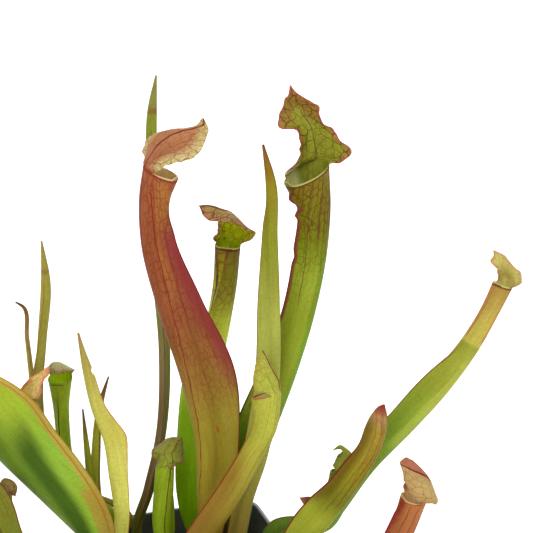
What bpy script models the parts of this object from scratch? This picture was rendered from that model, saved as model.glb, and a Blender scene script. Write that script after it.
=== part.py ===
"""A pitcher plant in a square nursery pot: pot, soil and 22 separate leaves.

Metres, +Z up. The origin is the middle of the pot's flat base, and the pot's sides lie along X and Y.
"""
import math

import bmesh
import bpy
import numpy as np

MM = 0.001

# The pot: a 9 cm square nursery pot with a rolled rim. Half widths are from the axis to the outer face.
POT_HEIGHT = 90 * MM
RIM_HALF = 45 * MM
WALL_TOP_HALF = 43 * MM
BASE_HALF = 33 * MM
POT_WALL = 1.2 * MM
RIM_BAND = 9 * MM
CORNER_RADIUS = 11 * MM
CORNER_STEPS = 5
DRAIN_RADIUS = 4 * MM
DRAIN_OFFSET = 20 * MM

# The soil fills the pot to 15 mm below the rim, and each leaf stands in its own hole.
GAP = 0.3 * MM
SOIL_TOP = 75 * MM
FOOT_DEPTH = 5 * MM
HOLE_PLAY = 0.4 * MM
HOLE_SIDES = 10
FOOT_ROOM = 1.05

# The leaves are laid out as seen from the pot's left front, then turned with the crown to the pot's axes.
CROWN_TURN = math.radians(-18.5)
SKIN = 0.8 * MM
WING_EDGE = 0.45 * MM
WING_ROOT_ANGLE = 14
HOOD_FROM = (104, 256)
DEPTH_OF_TUBE = 1.04
WING_EDGE_SHARE = 0.2

# Each stop on a leaf's middle line is (x, y, z, side radius, wing width) in millimetres, from the soil up.
# The wing, a thin keel, runs down the side that the leaf faces. facing holds the compass angle of that
# side at even steps from the foot to the top, in degrees from X. drop is how far the front of the mouth
# hangs down. A hood is a row of folds from the mouth to its tip, then the tip itself. Each fold is the
# margin that stands anticlockwise of the front, the spine and the other margin, as points (x, y, z).
# hood_from holds the angles round the mouth, from its front, between which the hood rises.
PITCHERS = {
    "pitcher_red": {
        "foot": (5, -2, 2.4), "facing": (-15, -12), "drop": 2,
        "stops": [(6, -3, 94, 3.6, 3), (7, -4, 118, 4.5, 7), (8, -5, 150, 6, 9), (3, -6, 182, 7, 12),
                  (-7, -6, 217, 7, 7), (-14, -5, 248, 6.8, 2), (-14, -5, 269, 6.8, 0),
                  (-11, -5, 280, 8, 0)],
        "hood": [((-17, 6, 281), (-19, -4, 283), (-11, -13, 282)),
                 ((-19, 6, 284), (-16, -5, 287), (-8, -16, 285)),
                 ((-20, 5, 288), (-13, -5, 291), (-3, -17, 287)),
                 ((-18, 4, 292), (-8, -5, 295), (2, -16, 287)),
                 ((-13, 2, 294), (-3, -5, 298), (6, -14, 290)), ((-5, -1, 296), (2, -5, 299), (9, -10, 295)),
                 ((4.5, -2.5, 299.5), (7.5, -5, 301), (10, -7.5, 299.5)), (7.5, -5, 303.5)],
    },
    "pitcher_tall": {
        "foot": (21, 10, 2.5), "facing": (-150, -160), "drop": 4.5, "hood_from": (149, 316),
        "stops": [(22, 12, 92, 4, 3), (25, 12, 115, 5, 6), (33, 11, 148, 6.5, 8), (43, 10, 179, 6.8, 5),
                  (51, 9, 209, 7, 2), (56, 8, 239, 7.2, 1.5), (57, 6, 261, 7.4, 1), (53, 5, 278, 10.6, 0)],
        "hood": [((68, 4, 281), (58, 14, 281), (44, 0, 277)), ((74, 5, 287), (57, 14, 286), (50, 6, 283)),
                 ((67, 7, 292), (56, 13, 292), (51, 8, 289)), ((65, 6, 296), (55, 12, 296), (48, 6, 295)),
                 ((60, 6, 301), (53, 11, 299), (42, 3, 297)), ((58, 6, 306), (50, 10, 304), (41, 3, 303)),
                 ((53, 6, 310), (47, 9, 308), (43.5, 5, 310)),
                 ((49, 8, 312), (47, 8, 311.5), (45, 6.5, 311)), (46, 7, 315.5)],
    },
    "pitcher_back": {
        "foot": (5, 15, 2.4), "facing": (-150, -150, -150, -95), "drop": 0,
        "stops": [(5, 17, 92, 4.5, 5), (4, 17, 113, 5.5, 8), (6, 18, 145, 6, 9), (8, 18, 176, 6, 7),
                  (13, 18, 201, 5.6, 4), (16, 18, 219, 5.6, 1), (17.5, 18, 238, 6, 0)],
        "hood": [((27, 12, 242), (20, 24, 241), (11, 17, 241)), ((30, 8, 247), (22, 23, 245), (12, 17, 245)),
                 ((25, 6, 251), (21, 20, 251), (13, 17, 248)), ((19, 4, 253), (19, 16, 255), (15, 17, 252)),
                 ((13, 3, 254), (15, 13, 257), (13, 16, 255)), ((7, 2, 257), (10, 8, 260), (9, 12, 258)),
                 ((6, 4, 258.5), (7.5, 7, 260.5), (7, 9, 259.5)), (5, 6.5, 260.5)],
    },
    "pitcher_front": {
        "foot": (-9, -22, 2.5), "facing": (-170, -172), "drop": 3,
        "stops": [(-3, -22, 96, 4.2, 2), (8, -22, 112, 4.8, 3), (19, -21, 130, 5, 2), (30, -20, 152, 5, 1),
                  (35, -22, 166, 5.6, 0.5), (35.5, -18.5, 179.5, 6.6, 0)],
        "hood": [((35, -25, 182), (42, -19, 181), (37, -13, 178)),
                 ((31, -25, 182), (41.5, -19, 185), (33, -13, 179)),
                 ((29.5, -25, 186), (40, -19, 188), (31, -13, 183)),
                 ((30, -24, 191), (38, -19, 192), (32, -14, 188)),
                 ((31, -22, 196), (36, -19, 196), (33, -16, 194)), (34, -19, 200)],
    },
    "pitcher_long_right": {
        "foot": (34, 11, 2.5), "facing": (180, 180, 180, 225), "drop": 2,
        "stops": [(35, 11, 88, 2.8, 0.5), (40, 11.5, 95.5, 3.1, 1), (48, 12, 97, 3.5, 1),
                  (57, 12, 95, 3.9, 1), (64, 12, 98, 4.2, 2), (70, 12.5, 107, 4.3, 2),
                  (84, 13.5, 129, 4.8, 3), (102, 14.5, 150, 5.3, 3), (118.5, 15.5, 170.5, 5.6, 2.5),
                  (131.5, 16, 189, 4.8, 0.3), (142, 18, 208.5, 4.4, 0), (147, 21, 218.5, 4.8, 0)],
        "hood": [((153, 16, 218.5), (150, 25, 220), (145, 24, 220)),
                 ((154, 14, 222), (149, 23, 224), (144, 22, 224)),
                 ((153, 14, 227), (147, 21, 227), (142, 20, 227)),
                 ((149, 14, 231), (145, 19, 230), (140, 18, 230)),
                 ((146, 15, 234), (143, 18, 233), (141, 17, 233)), (141, 17, 236)],
    },
    "pitcher_hook": {
        "foot": (29, 3, 1.8), "facing": (180, 180), "drop": 1,
        "stops": [(32, 3, 88, 2.1, 0.5), (46, 4, 96, 2.3, 1), (60, 5, 104, 2.6, 1), (67, 5, 119, 2.9, 0),
                  (69.5, 5, 129, 3.3, 0)],
        "hood": [((67, 1, 134), (74, 5, 135), (68, 9, 131)), ((69, 1, 137), (76, 5, 138), (70, 9, 136)),
                 ((72, 2, 139.5), (74, 5, 140.5), (72, 7, 139)), ((71, 3, 141), (71, 5, 142.5), (71, 7, 141)),
                 (67, 5, 140)],
    },
    "pitcher_bud_right": {
        "foot": (37, -5, 1.6), "facing": (180, 180), "drop": 1,
        "stops": [(39, -5, 90, 1.7, 0.4), (47, -5, 101, 1.9, 0.5), (54, -5, 107, 2.1, 0.3),
                  (55.5, -5, 115, 2.6, 0)],
        "hood": [((53, -8, 118), (57, -5, 120), (53, -2, 116)), (51, -5, 120)],
    },
    "pitcher_rust_right": {
        "foot": (36, -24, 2.4), "facing": (-165, -165), "drop": 1, "hood_from": (104, 300),
        "stops": [(42, -26, 90, 3, 1), (56, -28, 101, 3.5, 2), (73, -30, 95, 4, 2), (88, -32, 98, 4.6, 3),
                  (96, -33, 113, 5, 3), (102.5, -33, 134, 5.9, 0)],
        "hood": [((111, -42, 135), (111, -30, 134), (98, -29, 138)),
                 ((106, -45, 137), (111, -31, 139), (100, -27, 140)),
                 ((102, -45, 140), (109, -32, 143), (104, -25, 144)),
                 ((99, -43, 143), (106, -32, 145), (101, -26, 149)),
                 ((97, -40, 145), (102, -32, 147), (98.5, -27, 151)),
                 ((97, -36, 147), (99, -32, 148.5), (96, -29, 150)), (96, -32, 150)],
    },
    "pitcher_broad_left": {
        "foot": (-29, -14, 2.6), "facing": (-10, -20), "drop": 6,
        "stops": [(-31, -14.5, 90, 3.2, 1), (-41, -16, 99, 4.2, 4), (-49, -17, 113, 7, 7),
                  (-66, -20, 141, 11.2, 8), (-77, -22, 155, 11.4, 11), (-90, -25, 172, 10.6, 16),
                  (-104, -28, 188, 8.8, 12), (-114, -30, 199, 9.4, 2)],
        "hood": [((-117, -20, 207), (-126, -29, 208), (-119, -39, 206)),
                 ((-113, -17, 214), (-128, -28, 217), (-116, -42, 212)),
                 ((-106, -18, 219), (-124, -28, 225), (-109, -41, 217)),
                 ((-99, -21, 221), (-116, -28, 229), (-101, -38, 219)),
                 ((-95, -25, 221), (-106, -29, 228), (-96, -34, 219)), (-89, -30, 222)],
    },
    "pitcher_low_left": {
        "foot": (-27, -32, 2.4), "facing": (-20, -20), "drop": 4,
        "stops": [(-28, -33, 92, 2.8, 1), (-42, -36, 104, 3.4, 2), (-60, -39, 99, 4, 2),
                  (-75, -41, 105, 4.8, 3), (-83, -43, 122, 5.7, 4), (-87, -44, 140, 6, 3),
                  (-93, -45, 153, 5.6, 1), (-100, -46, 165, 6.2, 0)],
        "hood": [((-103, -40, 172), (-109, -46, 171), (-104, -52, 171)),
                 ((-100, -38, 178), (-110, -46, 178), (-102, -53, 176)),
                 ((-95, -39, 182), (-106, -46, 184), (-97, -52, 180)),
                 ((-91, -42, 182), (-99, -46, 186), (-92, -49, 181)), (-90, -46, 183)],
    },
    "pitcher_bud_left": {
        "foot": (-33, -23, 1.6), "facing": (0, 0), "drop": 1,
        "stops": [(-33, -24, 92, 1.7, 0.4), (-46, -26, 104, 1.9, 0.6), (-62, -27, 100, 2.1, 0.8),
                  (-76, -28, 104, 2.3, 0.8), (-83, -29, 116, 2.4, 0.6), (-84, -30, 135, 3.4, 0)],
        "hood": [((-83, -26, 137), (-84, -30, 142), (-84, -34, 138)),
                 ((-81, -26, 134), (-80, -30, 141), (-82, -34, 136)),
                 ((-79, -28, 134), (-78, -30, 138), (-80, -33, 135)), (-79, -30, 133)],
    },
    "pitcher_pink": {
        "foot": (-38, -5, 2.4), "facing": (-10, -45), "drop": 3,
        "stops": [(-39, -5, 94, 2.8, 1), (-53, -4, 106, 3.5, 2), (-64, -4, 124, 4, 3),
                  (-71, -4, 146, 4.4, 2), (-76, -4, 168, 5, 0)],
        "hood": [((-70, -8, 172), (-77, 1, 172), (-80, -3, 174)),
                 ((-68, -8, 177), (-74, 0, 176), (-78, -1, 176)),
                 ((-67, -7, 180), (-71, -2, 179.5), (-74.5, 0, 179)),
                 ((-65, -5, 183), (-67.5, -3, 182.5), (-70, -1, 182)), (-65, -3, 186)],
    },
    "pitcher_green_left": {
        "foot": (-36, 21, 2.2), "facing": (-100, -100), "drop": 4,
        "stops": [(-39, 22, 94, 2.8, 0.5), (-55, 24, 107, 3.4, 1), (-62, 21, 125, 3.8, 2),
                  (-63, 18, 145, 3.5, 2), (-63, 16, 160, 4, 1), (-63, 17.5, 174, 5.8, 0)],
        "hood": [((-57, 13, 176), (-63, 22, 176), (-68, 14, 176)),
                 ((-56, 11, 178), (-64, 20, 179), (-69, 13, 178)),
                 ((-55, 9, 179), (-64, 15, 181), (-68, 11, 180)),
                 ((-57, 7, 180), (-63, 10, 181), (-67, 8, 179)),
                 (-62, 6, 178.5)],
    },
    "pitcher_low_green": {
        "foot": (-12, -6, 2.2), "facing": (5, 70), "drop": 2,
        "stops": [(-13, -8, 91, 3.4, 1), (-14, -8, 110, 4.6, 3), (-13, -8, 125, 4.6, 2),
                  (-12, -9, 138, 4.4, 0)],
        "hood": [((-16, -8, 141), (-11, -13, 143), (-6.5, -8, 139)),
                 ((-18, -7, 143), (-11, -13, 147), (-3, -5, 139)),
                 ((-17, -5, 146), (-9, -11, 149), (-3, -3, 143)),
                 ((-11, -3, 150), (-7, -8, 151), (-4, -3, 147)),
                 (-4, -5, 151)],
    },
}

# Leaves with no mouth: flat winged blades, and one pitcher that hasn't opened. depth is the front-to-back
# radius of the rib as a share of its side radius.
BLADES = {
    "pitcher_closed": {
        "foot": (28, -14, 2.5), "facing": (180, 180), "depth": 1.05,
        "stops": [(31, -14, 88, 3, 0.5), (46, -15, 97, 4.4, 3), (58, -15, 110, 5.2, 5.5),
                  (64, -15, 118.5, 5.2, 5), (71, -15, 129, 5.2, 2.5), (78, -14, 140, 5.2, 1.5),
                  (83.5, -14, 151, 5, 0.4), (86, -14, 160, 4.7, 0), (87.5, -14, 166, 3.5, 0),
                  (88.5, -14, 169.5, 2, 0), (89.5, -14, 171.5, 0.4, 0)],
    },
    "blade_tall": {
        "foot": (-22, 11, 1.8), "facing": (-85, -85), "depth": 0.8,
        "stops": [(-28, 14, 90, 2.4, 1), (-22, 16, 114, 2.6, 3), (-16, 17, 140, 2.5, 3),
                  (-13, 18, 185, 2.8, 3), (-16, 18, 231, 2.6, 3), (-17, 17, 275, 2.5, 2),
                  (-16, 17, 303, 2.1, 0), (-14, 17, 318, 0.4, 0)],
    },
    "blade_centre": {
        "foot": (19, -6, 2), "facing": (180, 180), "depth": 1.35,
        "stops": [(22, -6, 98, 2.6, 2), (26, -6, 119, 2.4, 3), (33, -7, 142, 2.2, 6), (39, -7, 185, 2, 6),
                  (39, -7, 220, 1.9, 5), (38, -7, 250, 1.9, 2), (37.5, -7, 274, 1.8, 0),
                  (34, -7, 292, 0.4, 0)],
    },
    "blade_left": {
        "foot": (-41, 13, 1.8), "facing": (-160, -90), "depth": 1.0,
        "stops": [(-43, 13, 95, 2.2, 1), (-58, 12, 106, 2.4, 2), (-69, 12, 128, 2.4, 3),
                  (-73, 12, 165, 2.3, 4), (-70, 12, 193, 2.2, 2), (-67, 12, 222, 2.3, 1),
                  (-68, 12, 242, 0.4, 0)],
    },
    "blade_thin_left": {
        "foot": (-30, 27, 1.5), "facing": (-120, -120), "depth": 1.0,
        "stops": [(-34, 29, 94, 1.7, 0.5), (-50, 31, 102, 1.8, 1), (-66, 30, 105, 1.8, 1),
                  (-75, 28, 120, 1.7, 1), (-77, 26, 152, 1.5, 1), (-79, 24, 190, 1.1, 0),
                  (-80, 23, 206, 0.8, 0), (-83, 21, 209, 0.4, 0)],
    },
    "blade_yellow": {
        "foot": (-23, -6, 2), "facing": (0, 0), "depth": 1.35,
        "stops": [(-34, -8, 97, 2.2, 1), (-34, -8, 112, 2, 2), (-36, -9, 134, 1.9, 4),
                  (-38, -10, 152, 1.8, 5.5), (-43, -10, 168, 1.8, 2), (-47, -10, 188, 1.4, 1),
                  (-50, -10, 205, 0.4, 0)],
    },
    "blade_short": {
        "foot": (-39, 2, 1.5), "facing": (-90, -90), "depth": 0.9,
        "stops": [(-43, 3, 90, 1.8, 1), (-48, 3, 120, 2, 1), (-50, 3, 145, 1.3, 0),
                  (-51, 3, 162, 0.4, 0)],
    },
    "blade_brown_tip": {
        "foot": (-32, 6, 1.8), "facing": (-60, -60), "depth": 0.9,
        "stops": [(-40, 8, 92, 2.2, 1), (-46, 9, 109, 2.6, 2), (-46, 9, 140, 2.2, 2),
                  (-43, 9, 163, 1.4, 0), (-39, 9, 176, 0.4, 0)],
    },
}

# A hood's skin is bowed from margin to margin, and its margins are waved, less on a narrow hood.
HOOD_BOW = 1.8
HOOD_BLEND = 0.45
HOOD_ROOT_STEP = 3 * MM
HOOD_TIP_HALF = 1.3 * MM
HOOD_TIP_SKIN = 0.8
WAVE_HEIGHT = 0.9 * MM
WAVE_LENGTH = 15 * MM
WAVE_START = 0.2
WAVED_HALF = 9 * MM
WAVE_FADE = 0.25

HOLLOW_FROM = 0.4
HOOD_ROW_STEP = 3.6 * MM
MOST_HOOD_ROWS = 12
LEAST_HOOD_ROWS = 4
FRONT_COLUMNS = 3
BACK_COLUMNS = 7
BLADE_COLUMNS = 7
NUDGE = 0.004

COLOURS = {
    "pot": ((0.015, 0.015, 0.016), 0.45),
    "soil": ((0.045, 0.028, 0.018), 0.95),
    "pitcher_red": ((0.45, 0.10, 0.05), 0.45),
    "pitcher_rust_right": ((0.50, 0.12, 0.05), 0.45),
    "blade_yellow": ((0.62, 0.55, 0.10), 0.5),
}
LEAF_COLOUR = ((0.34, 0.42, 0.07), 0.45)


def smooth(knots, values, at):
    """Cubic curve through the values at the knots, read at the given places."""
    knots = np.asarray(knots, float)
    flat = np.asarray(values, float).reshape(len(knots), -1)
    slopes = np.gradient(flat, knots, axis=0)
    at = np.clip(np.asarray(at, float), knots[0], knots[-1])
    i = np.clip(np.searchsorted(knots, at, side="right") - 1, 0, len(knots) - 2)
    span = (knots[i + 1] - knots[i])[:, None]
    t = (at - knots[i])[:, None] / span
    start = flat[i] * (2 * t**3 - 3 * t**2 + 1) + slopes[i] * span * (t**3 - 2 * t**2 + t)
    end = flat[i + 1] * (3 * t**2 - 2 * t**3) + slopes[i + 1] * span * (t**3 - t**2)
    return start + end


def eased(value):
    """A smooth step from 0 to 1 as the value goes from 0 to 1."""
    value = np.clip(value, 0, 1)
    return value * value * (3 - 2 * value)


def unit(vectors):
    """The same directions with length 1."""
    return vectors / np.linalg.norm(vectors, axis=-1, keepdims=True)


def turned(points):
    """Points of the leaf layout in the pot's own axes."""
    c, s = math.cos(CROWN_TURN), math.sin(CROWN_TURN)
    return points @ np.array([[c, s, 0], [-s, c, 0], [0, 0, 1]])


class Axis:
    """A leaf's middle line: centres, directions and sizes, one row for each stop."""

    def __init__(self, leaf):
        x, y, girth = leaf["foot"]
        foot = [(x, y, (SOIL_TOP - FOOT_DEPTH) / MM, girth, 0), (x, y, SOIL_TOP / MM + 1, girth, 0)]
        stops = np.array(foot + leaf["stops"], float) * MM
        steps = np.linalg.norm(np.diff(stops[:, :3], axis=0), axis=1)
        at = np.concatenate([[0], np.cumsum(steps)]) / steps.sum()
        self.centre = stops[:, :3]
        ahead = smooth(at, self.centre, at + NUDGE)
        self.along = unit(ahead - smooth(at, self.centre, at - NUDGE))
        self.along[0] = (0, 0, 1)
        turns = leaf["facing"]
        facing = np.radians(np.interp(at, np.linspace(0, 1, len(turns)), turns))
        lying = (1 - self.along[:, 2]) ** 2
        toward = np.stack([np.cos(facing), np.sin(facing), lying], -1)
        self.front = unit(toward - (toward * self.along).sum(-1, keepdims=True) * self.along)
        self.side = np.cross(self.along, self.front)
        self.girth, self.wing = stops[:, 3], stops[:, 4]


def ring_angles(leaf):
    """Angles round a tube from its front, in degrees, with the hood's own columns in the middle."""
    first, last = leaf.get("hood_from", HOOD_FROM)
    right = np.linspace(WING_ROOT_ANGLE, first, FRONT_COLUMNS, endpoint=False)
    left = np.linspace(last, 360 - WING_ROOT_ANGLE, FRONT_COLUMNS + 1)[1:]
    return np.concatenate([right, np.linspace(first, last, BACK_COLUMNS), left])


def tube_rows(axis, angles, depth, inset=0.0):
    """Points of the tube's skin, one row of columns for each row of the axis, wing edges first and last."""
    theta = np.radians(angles)[None, :, None]
    across = (axis.girth - inset)[:, None, None]
    deep = (axis.girth * depth - inset)[:, None, None]
    side, front = axis.side[:, None, :], axis.front[:, None, :]
    ring = axis.centre[:, None, :] + side * across * np.sin(theta) + front * deep * np.cos(theta)
    if inset:
        edge = math.radians(WING_ROOT_ANGLE / 3)
        reach = deep * math.cos(edge)
        half = across * math.sin(edge)
    else:
        reach = deep + axis.wing[:, None, None]
        half = np.full_like(reach, WING_EDGE)
        half = np.minimum(half, across * WING_EDGE_SHARE)
    tip = axis.centre[:, None, :] + front * reach
    return np.concatenate([tip + side * half, ring, tip - side * half], axis=1)


def drop_front(rows, angles, along, drop, count):
    """Lowers the front of the last rows, so that the mouth slants down from the hood to the lip."""
    theta = np.radians(np.concatenate([[0], angles, [0]]))
    share = (1 + np.cos(theta)) / 2
    for step in range(count):
        weight = drop * (1 - step / count) ** 1.5
        rows[-1 - step] -= along[-1 - step] * (share * weight)[:, None]


def hood_rows(axis, rim, leaf):
    """Points of the hood's upper skin, row by row from the mouth's back edge to the tip."""
    *folds, tip = leaf["hood"]
    root = rim[[0, len(rim) // 2, -1]]
    ends = np.array(folds[-1]) * MM
    point = np.array(tip) * MM + np.outer((1, 0, -1), unit(ends[0] - ends[2]) * HOOD_TIP_HALF)
    lines = np.array([root - axis.along[-1] * HOOD_ROOT_STEP, root, *(np.array(folds) * MM), point])
    steps = np.linalg.norm(np.diff(lines, axis=0), axis=2).mean(axis=1)
    length = steps[1:].sum()
    knots = np.concatenate([[-steps[0]], [0], np.cumsum(steps[1:])]) / length
    count = int(np.clip(round(length / HOOD_ROW_STEP), LEAST_HOOD_ROWS, MOST_HOOD_ROWS))
    places = np.linspace(0, 1, count + 1)
    right, spine, left = np.moveaxis(smooth(knots, lines, places).reshape(-1, 3, 3), 1, 0)[:, :, None]
    u = np.linspace(1, -1, len(rim))[None, :, None]
    grid = spine + (right - left) / 2 * u + ((right + left) / 2 - spine) * np.abs(u) ** HOOD_BOW
    at = places[:, None, None]
    grid = grid + (1 - eased(at / HOOD_BLEND)) * (rim - grid[0])
    normal = unit(np.cross(np.gradient(grid, axis=0), np.gradient(grid, axis=1)))
    half = np.linalg.norm(right - left, axis=2, keepdims=True) / 2
    wave = np.sin(2 * math.pi * (at * length / WAVE_LENGTH + WAVE_START)) * np.minimum(half / WAVED_HALF, 1)
    grid = grid + normal * WAVE_HEIGHT * wave * np.abs(u) ** 3 * eased(at / WAVE_FADE) * eased((1 - at) / WAVE_FADE)
    return grid[1:]


def grid_faces(index, flip_from):
    """Triangles between the rows of an index grid, split alike on the left and the right."""
    faces = []
    for low, high in zip(index[:-1], index[1:]):
        for c in range(len(low) - 1):
            a, b, d, e = low[c], low[c + 1], high[c + 1], high[c]
            if c < flip_from:
                faces += [(a, b, d), (a, d, e)]
            else:
                faces += [(a, b, e), (b, d, e)]
    return faces


def fan(centre, ring):
    """Triangles from one point to a closed ring of points."""
    return [(centre, ring[i - 1], ring[i]) for i in range(len(ring))]


def leaf_object(name, points, faces):
    """A closed leaf from its points and triangles."""
    mesh = bpy.data.meshes.new(name)
    mesh.from_pydata(turned(np.asarray(points)).tolist(), [], faces)
    bm = bmesh.new()
    bm.from_mesh(mesh)
    bmesh.ops.recalc_face_normals(bm, faces=bm.faces)
    if bm.calc_volume(signed=True) < 0:
        bmesh.ops.reverse_faces(bm, faces=bm.faces)
    bm.to_mesh(mesh)
    bm.free()
    mesh.shade_smooth()
    mesh.set_sharp_from_angle(angle=math.radians(50))
    return place_object(name, mesh)


def make_pitcher(name, leaf):
    """A winged tube, hollow from its mouth down, with a hood that grows from the mouth's back edge."""
    angles = ring_angles(leaf)
    axis = Axis(leaf)
    outer = tube_rows(axis, angles, DEPTH_OF_TUBE)
    inner = tube_rows(axis, angles, DEPTH_OF_TUBE, SKIN)[round(len(outer) * HOLLOW_FROM):]
    drop_front(outer, angles, axis.along, leaf["drop"] * MM, 3)
    drop_front(inner, angles, axis.along, leaf["drop"] * MM, 3)
    first, last = 1 + FRONT_COLUMNS, 1 + FRONT_COLUMNS + BACK_COLUMNS
    hood = hood_rows(axis, outer[-1, first:last], leaf)
    lining = lining_of(outer[-2:, first:last], hood)
    points = []
    index = [numbered(points, block) for block in (outer, inner, hood, lining)]
    skin, bore, top, underside = index
    middle = skin.shape[1] // 2
    top = np.vstack([skin[-1, first:last], top])
    underside = np.vstack([bore[-1, first:last], underside])
    faces = grid_faces(skin, middle) + grid_faces(bore, middle)
    faces += grid_faces(top, middle - first) + grid_faces(underside, middle - first)
    faces += grid_faces(np.stack([skin[:, -1], skin[:, 0]], axis=1), 0)
    faces += grid_faces(np.stack([bore[:, -1], bore[:, 0]], axis=1), 0)
    edge = np.concatenate([skin[-1, :first], top[:, 0], top[-1, 1:-1], top[::-1, -1], skin[-1, last:]])
    hem = np.concatenate([bore[-1, :first], underside[:, 0], underside[-1, 1:-1], underside[::-1, -1],
                          bore[-1, last:]])
    for i in range(len(edge)):
        faces += [(edge[i - 1], edge[i], hem[i]), (edge[i - 1], hem[i], hem[i - 1])]
    for ring, centre in ((skin[0], outer[0].mean(axis=0)), (bore[0], inner[0].mean(axis=0))):
        points.append(centre)
        faces += fan(len(points) - 1, ring)
    return leaf_object(name, points, faces)


def numbered(points, block):
    """Adds a grid of points to the list and returns their numbers in the same grid."""
    start = len(points)
    points.extend(block.reshape(-1, 3))
    return np.arange(start, len(points)).reshape(block.shape[:2])


def lining_of(root, hood):
    """The hood's lower skin, one leaf thickness under the upper one."""
    grid = np.concatenate([root, hood])
    lengthwise = np.gradient(grid, axis=0)
    across = np.gradient(grid, axis=1)
    normal = unit(np.cross(lengthwise, across))
    thick = np.linspace(1, HOOD_TIP_SKIN, len(hood))[:, None, None] * SKIN
    return hood + normal[2:] * thick


def make_blade(name, leaf):
    """A solid leaf with a rib and a flat wing, closed to a point."""
    angles = np.linspace(WING_ROOT_ANGLE, 360 - WING_ROOT_ANGLE, BLADE_COLUMNS)
    axis = Axis(leaf)
    points = []
    skin = numbered(points, tube_rows(axis, angles, leaf["depth"]))
    faces = grid_faces(skin, skin.shape[1] // 2)
    faces += grid_faces(np.stack([skin[:, -1], skin[:, 0]], axis=1), 0)
    for ring, centre in ((skin[0], axis.centre[0]), (skin[-1], axis.centre[-1])):
        points.append(centre)
        faces += fan(len(points) - 1, ring)
    return leaf_object(name, points, faces)


def square_ring(bm, half, z):
    """A rounded square of points at one height."""
    ring = []
    for corner in range(4):
        middle = math.radians(45 + 90 * corner)
        cx = math.copysign(half - CORNER_RADIUS, math.cos(middle))
        cy = math.copysign(half - CORNER_RADIUS, math.sin(middle))
        for step in range(CORNER_STEPS + 1):
            angle = math.radians(90 * corner + 90 * step / CORNER_STEPS)
            x = cx + CORNER_RADIUS * math.cos(angle)
            y = cy + CORNER_RADIUS * math.sin(angle)
            ring.append(bm.verts.new((x, y, z)))
    return ring


def square_solid(name, profile):
    """A closed solid from a profile of (half width, height) carried round a rounded square."""
    bm = bmesh.new()
    rings = [square_ring(bm, half, z) for half, z in profile]
    for low, high in zip(rings, rings[1:]):
        for i in range(len(low)):
            bm.faces.new((low[i - 1], low[i], high[i], high[i - 1]))
    bm.faces.new(rings[0])
    bm.faces.new(rings[-1])
    bmesh.ops.recalc_face_normals(bm, faces=bm.faces)
    mesh = bpy.data.meshes.new(name)
    bm.to_mesh(mesh)
    bm.free()
    return place_object(name, mesh)


def inner_half(z):
    """Half width of the room inside the pot at a height."""
    share = z / (POT_HEIGHT - RIM_BAND)
    return BASE_HALF + (WALL_TOP_HALF - BASE_HALF) * share - POT_WALL


def make_pot():
    """The square pot with its rolled rim and drain holes."""
    shoulder = POT_HEIGHT - RIM_BAND
    rim_inner = inner_half(shoulder) + (RIM_HALF - WALL_TOP_HALF) * 0.5
    pot = square_solid("pot", [
        (BASE_HALF, 0),
        (WALL_TOP_HALF, shoulder),
        (RIM_HALF - 0.6 * MM, shoulder + 0.6 * MM),
        (RIM_HALF, POT_HEIGHT - 1 * MM),
        (RIM_HALF - 1 * MM, POT_HEIGHT),
        (rim_inner, POT_HEIGHT - 0.6 * MM),
        (inner_half(shoulder), shoulder),
        (inner_half(POT_WALL), POT_WALL),
    ])
    cuts = bmesh.new()
    for x in (-1, 1):
        for y in (-1, 1):
            add_cylinder(cuts, x * DRAIN_OFFSET, y * DRAIN_OFFSET, DRAIN_RADIUS, -POT_WALL, 3 * POT_WALL, 12)
    cut(pot, "pot_drains", cuts)
    return pot


def make_soil():
    """The block of soil with a plain hole for each leaf's foot."""
    floor = POT_WALL + GAP
    soil = square_solid("soil", [
        (inner_half(floor) - GAP, floor),
        (inner_half(SOIL_TOP) - GAP - 1 * MM, SOIL_TOP - 1.5 * MM),
        (inner_half(SOIL_TOP) - 6 * MM, SOIL_TOP),
    ])
    cuts = bmesh.new()
    bottom = SOIL_TOP - FOOT_DEPTH - GAP
    for leaf in list(PITCHERS.values()) + list(BLADES.values()):
        x, y, girth = leaf["foot"]
        spot = turned(np.array([x, y, 0.0]) * MM)
        radius = girth * max(1, leaf.get("depth", DEPTH_OF_TUBE)) * FOOT_ROOM * MM + HOLE_PLAY
        add_cylinder(cuts, spot[0], spot[1], radius, bottom, SOIL_TOP + 2 * MM, HOLE_SIDES)
    cut(soil, "soil_holes", cuts)
    return soil


def add_cylinder(bm, x, y, radius, low, high, sides):
    """An upright cylinder between two heights."""
    made = bmesh.ops.create_cone(bm, cap_ends=True, segments=sides, radius1=radius, radius2=radius,
                                 depth=high - low)
    bmesh.ops.translate(bm, verts=made["verts"], vec=(x, y, (low + high) / 2))


def cut(target, name, bm):
    """Cuts the shapes in bm out of the target with a Boolean."""
    mesh = bpy.data.meshes.new(name)
    bm.to_mesh(mesh)
    bm.free()
    cutter = bpy.data.objects.new(name, mesh)
    cutter.hide_render = True
    cutter.display_type = "WIRE"
    cutters.objects.link(cutter)
    boolean = target.modifiers.new("holes", "BOOLEAN")
    boolean.operation = "DIFFERENCE"
    boolean.object = cutter


def place_object(name, mesh):
    """Adds a mesh to the plant's collection as a named object with its own material."""
    colour, roughness = COLOURS.get(name, LEAF_COLOUR)
    material = bpy.data.materials.new(name)
    material.use_nodes = True
    shader = material.node_tree.nodes["Principled BSDF"]
    shader.inputs["Base Color"].default_value = (*colour, 1)
    shader.inputs["Roughness"].default_value = roughness
    mesh.materials.append(material)
    made = bpy.data.objects.new(name, mesh)
    plant.objects.link(made)
    return made


for old in list(bpy.data.objects):
    bpy.data.objects.remove(old)
plant = bpy.data.collections.new("pitcher_plant")
cutters = bpy.data.collections.new("cutters")
for collection in (plant, cutters):
    bpy.context.scene.collection.children.link(collection)

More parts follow.
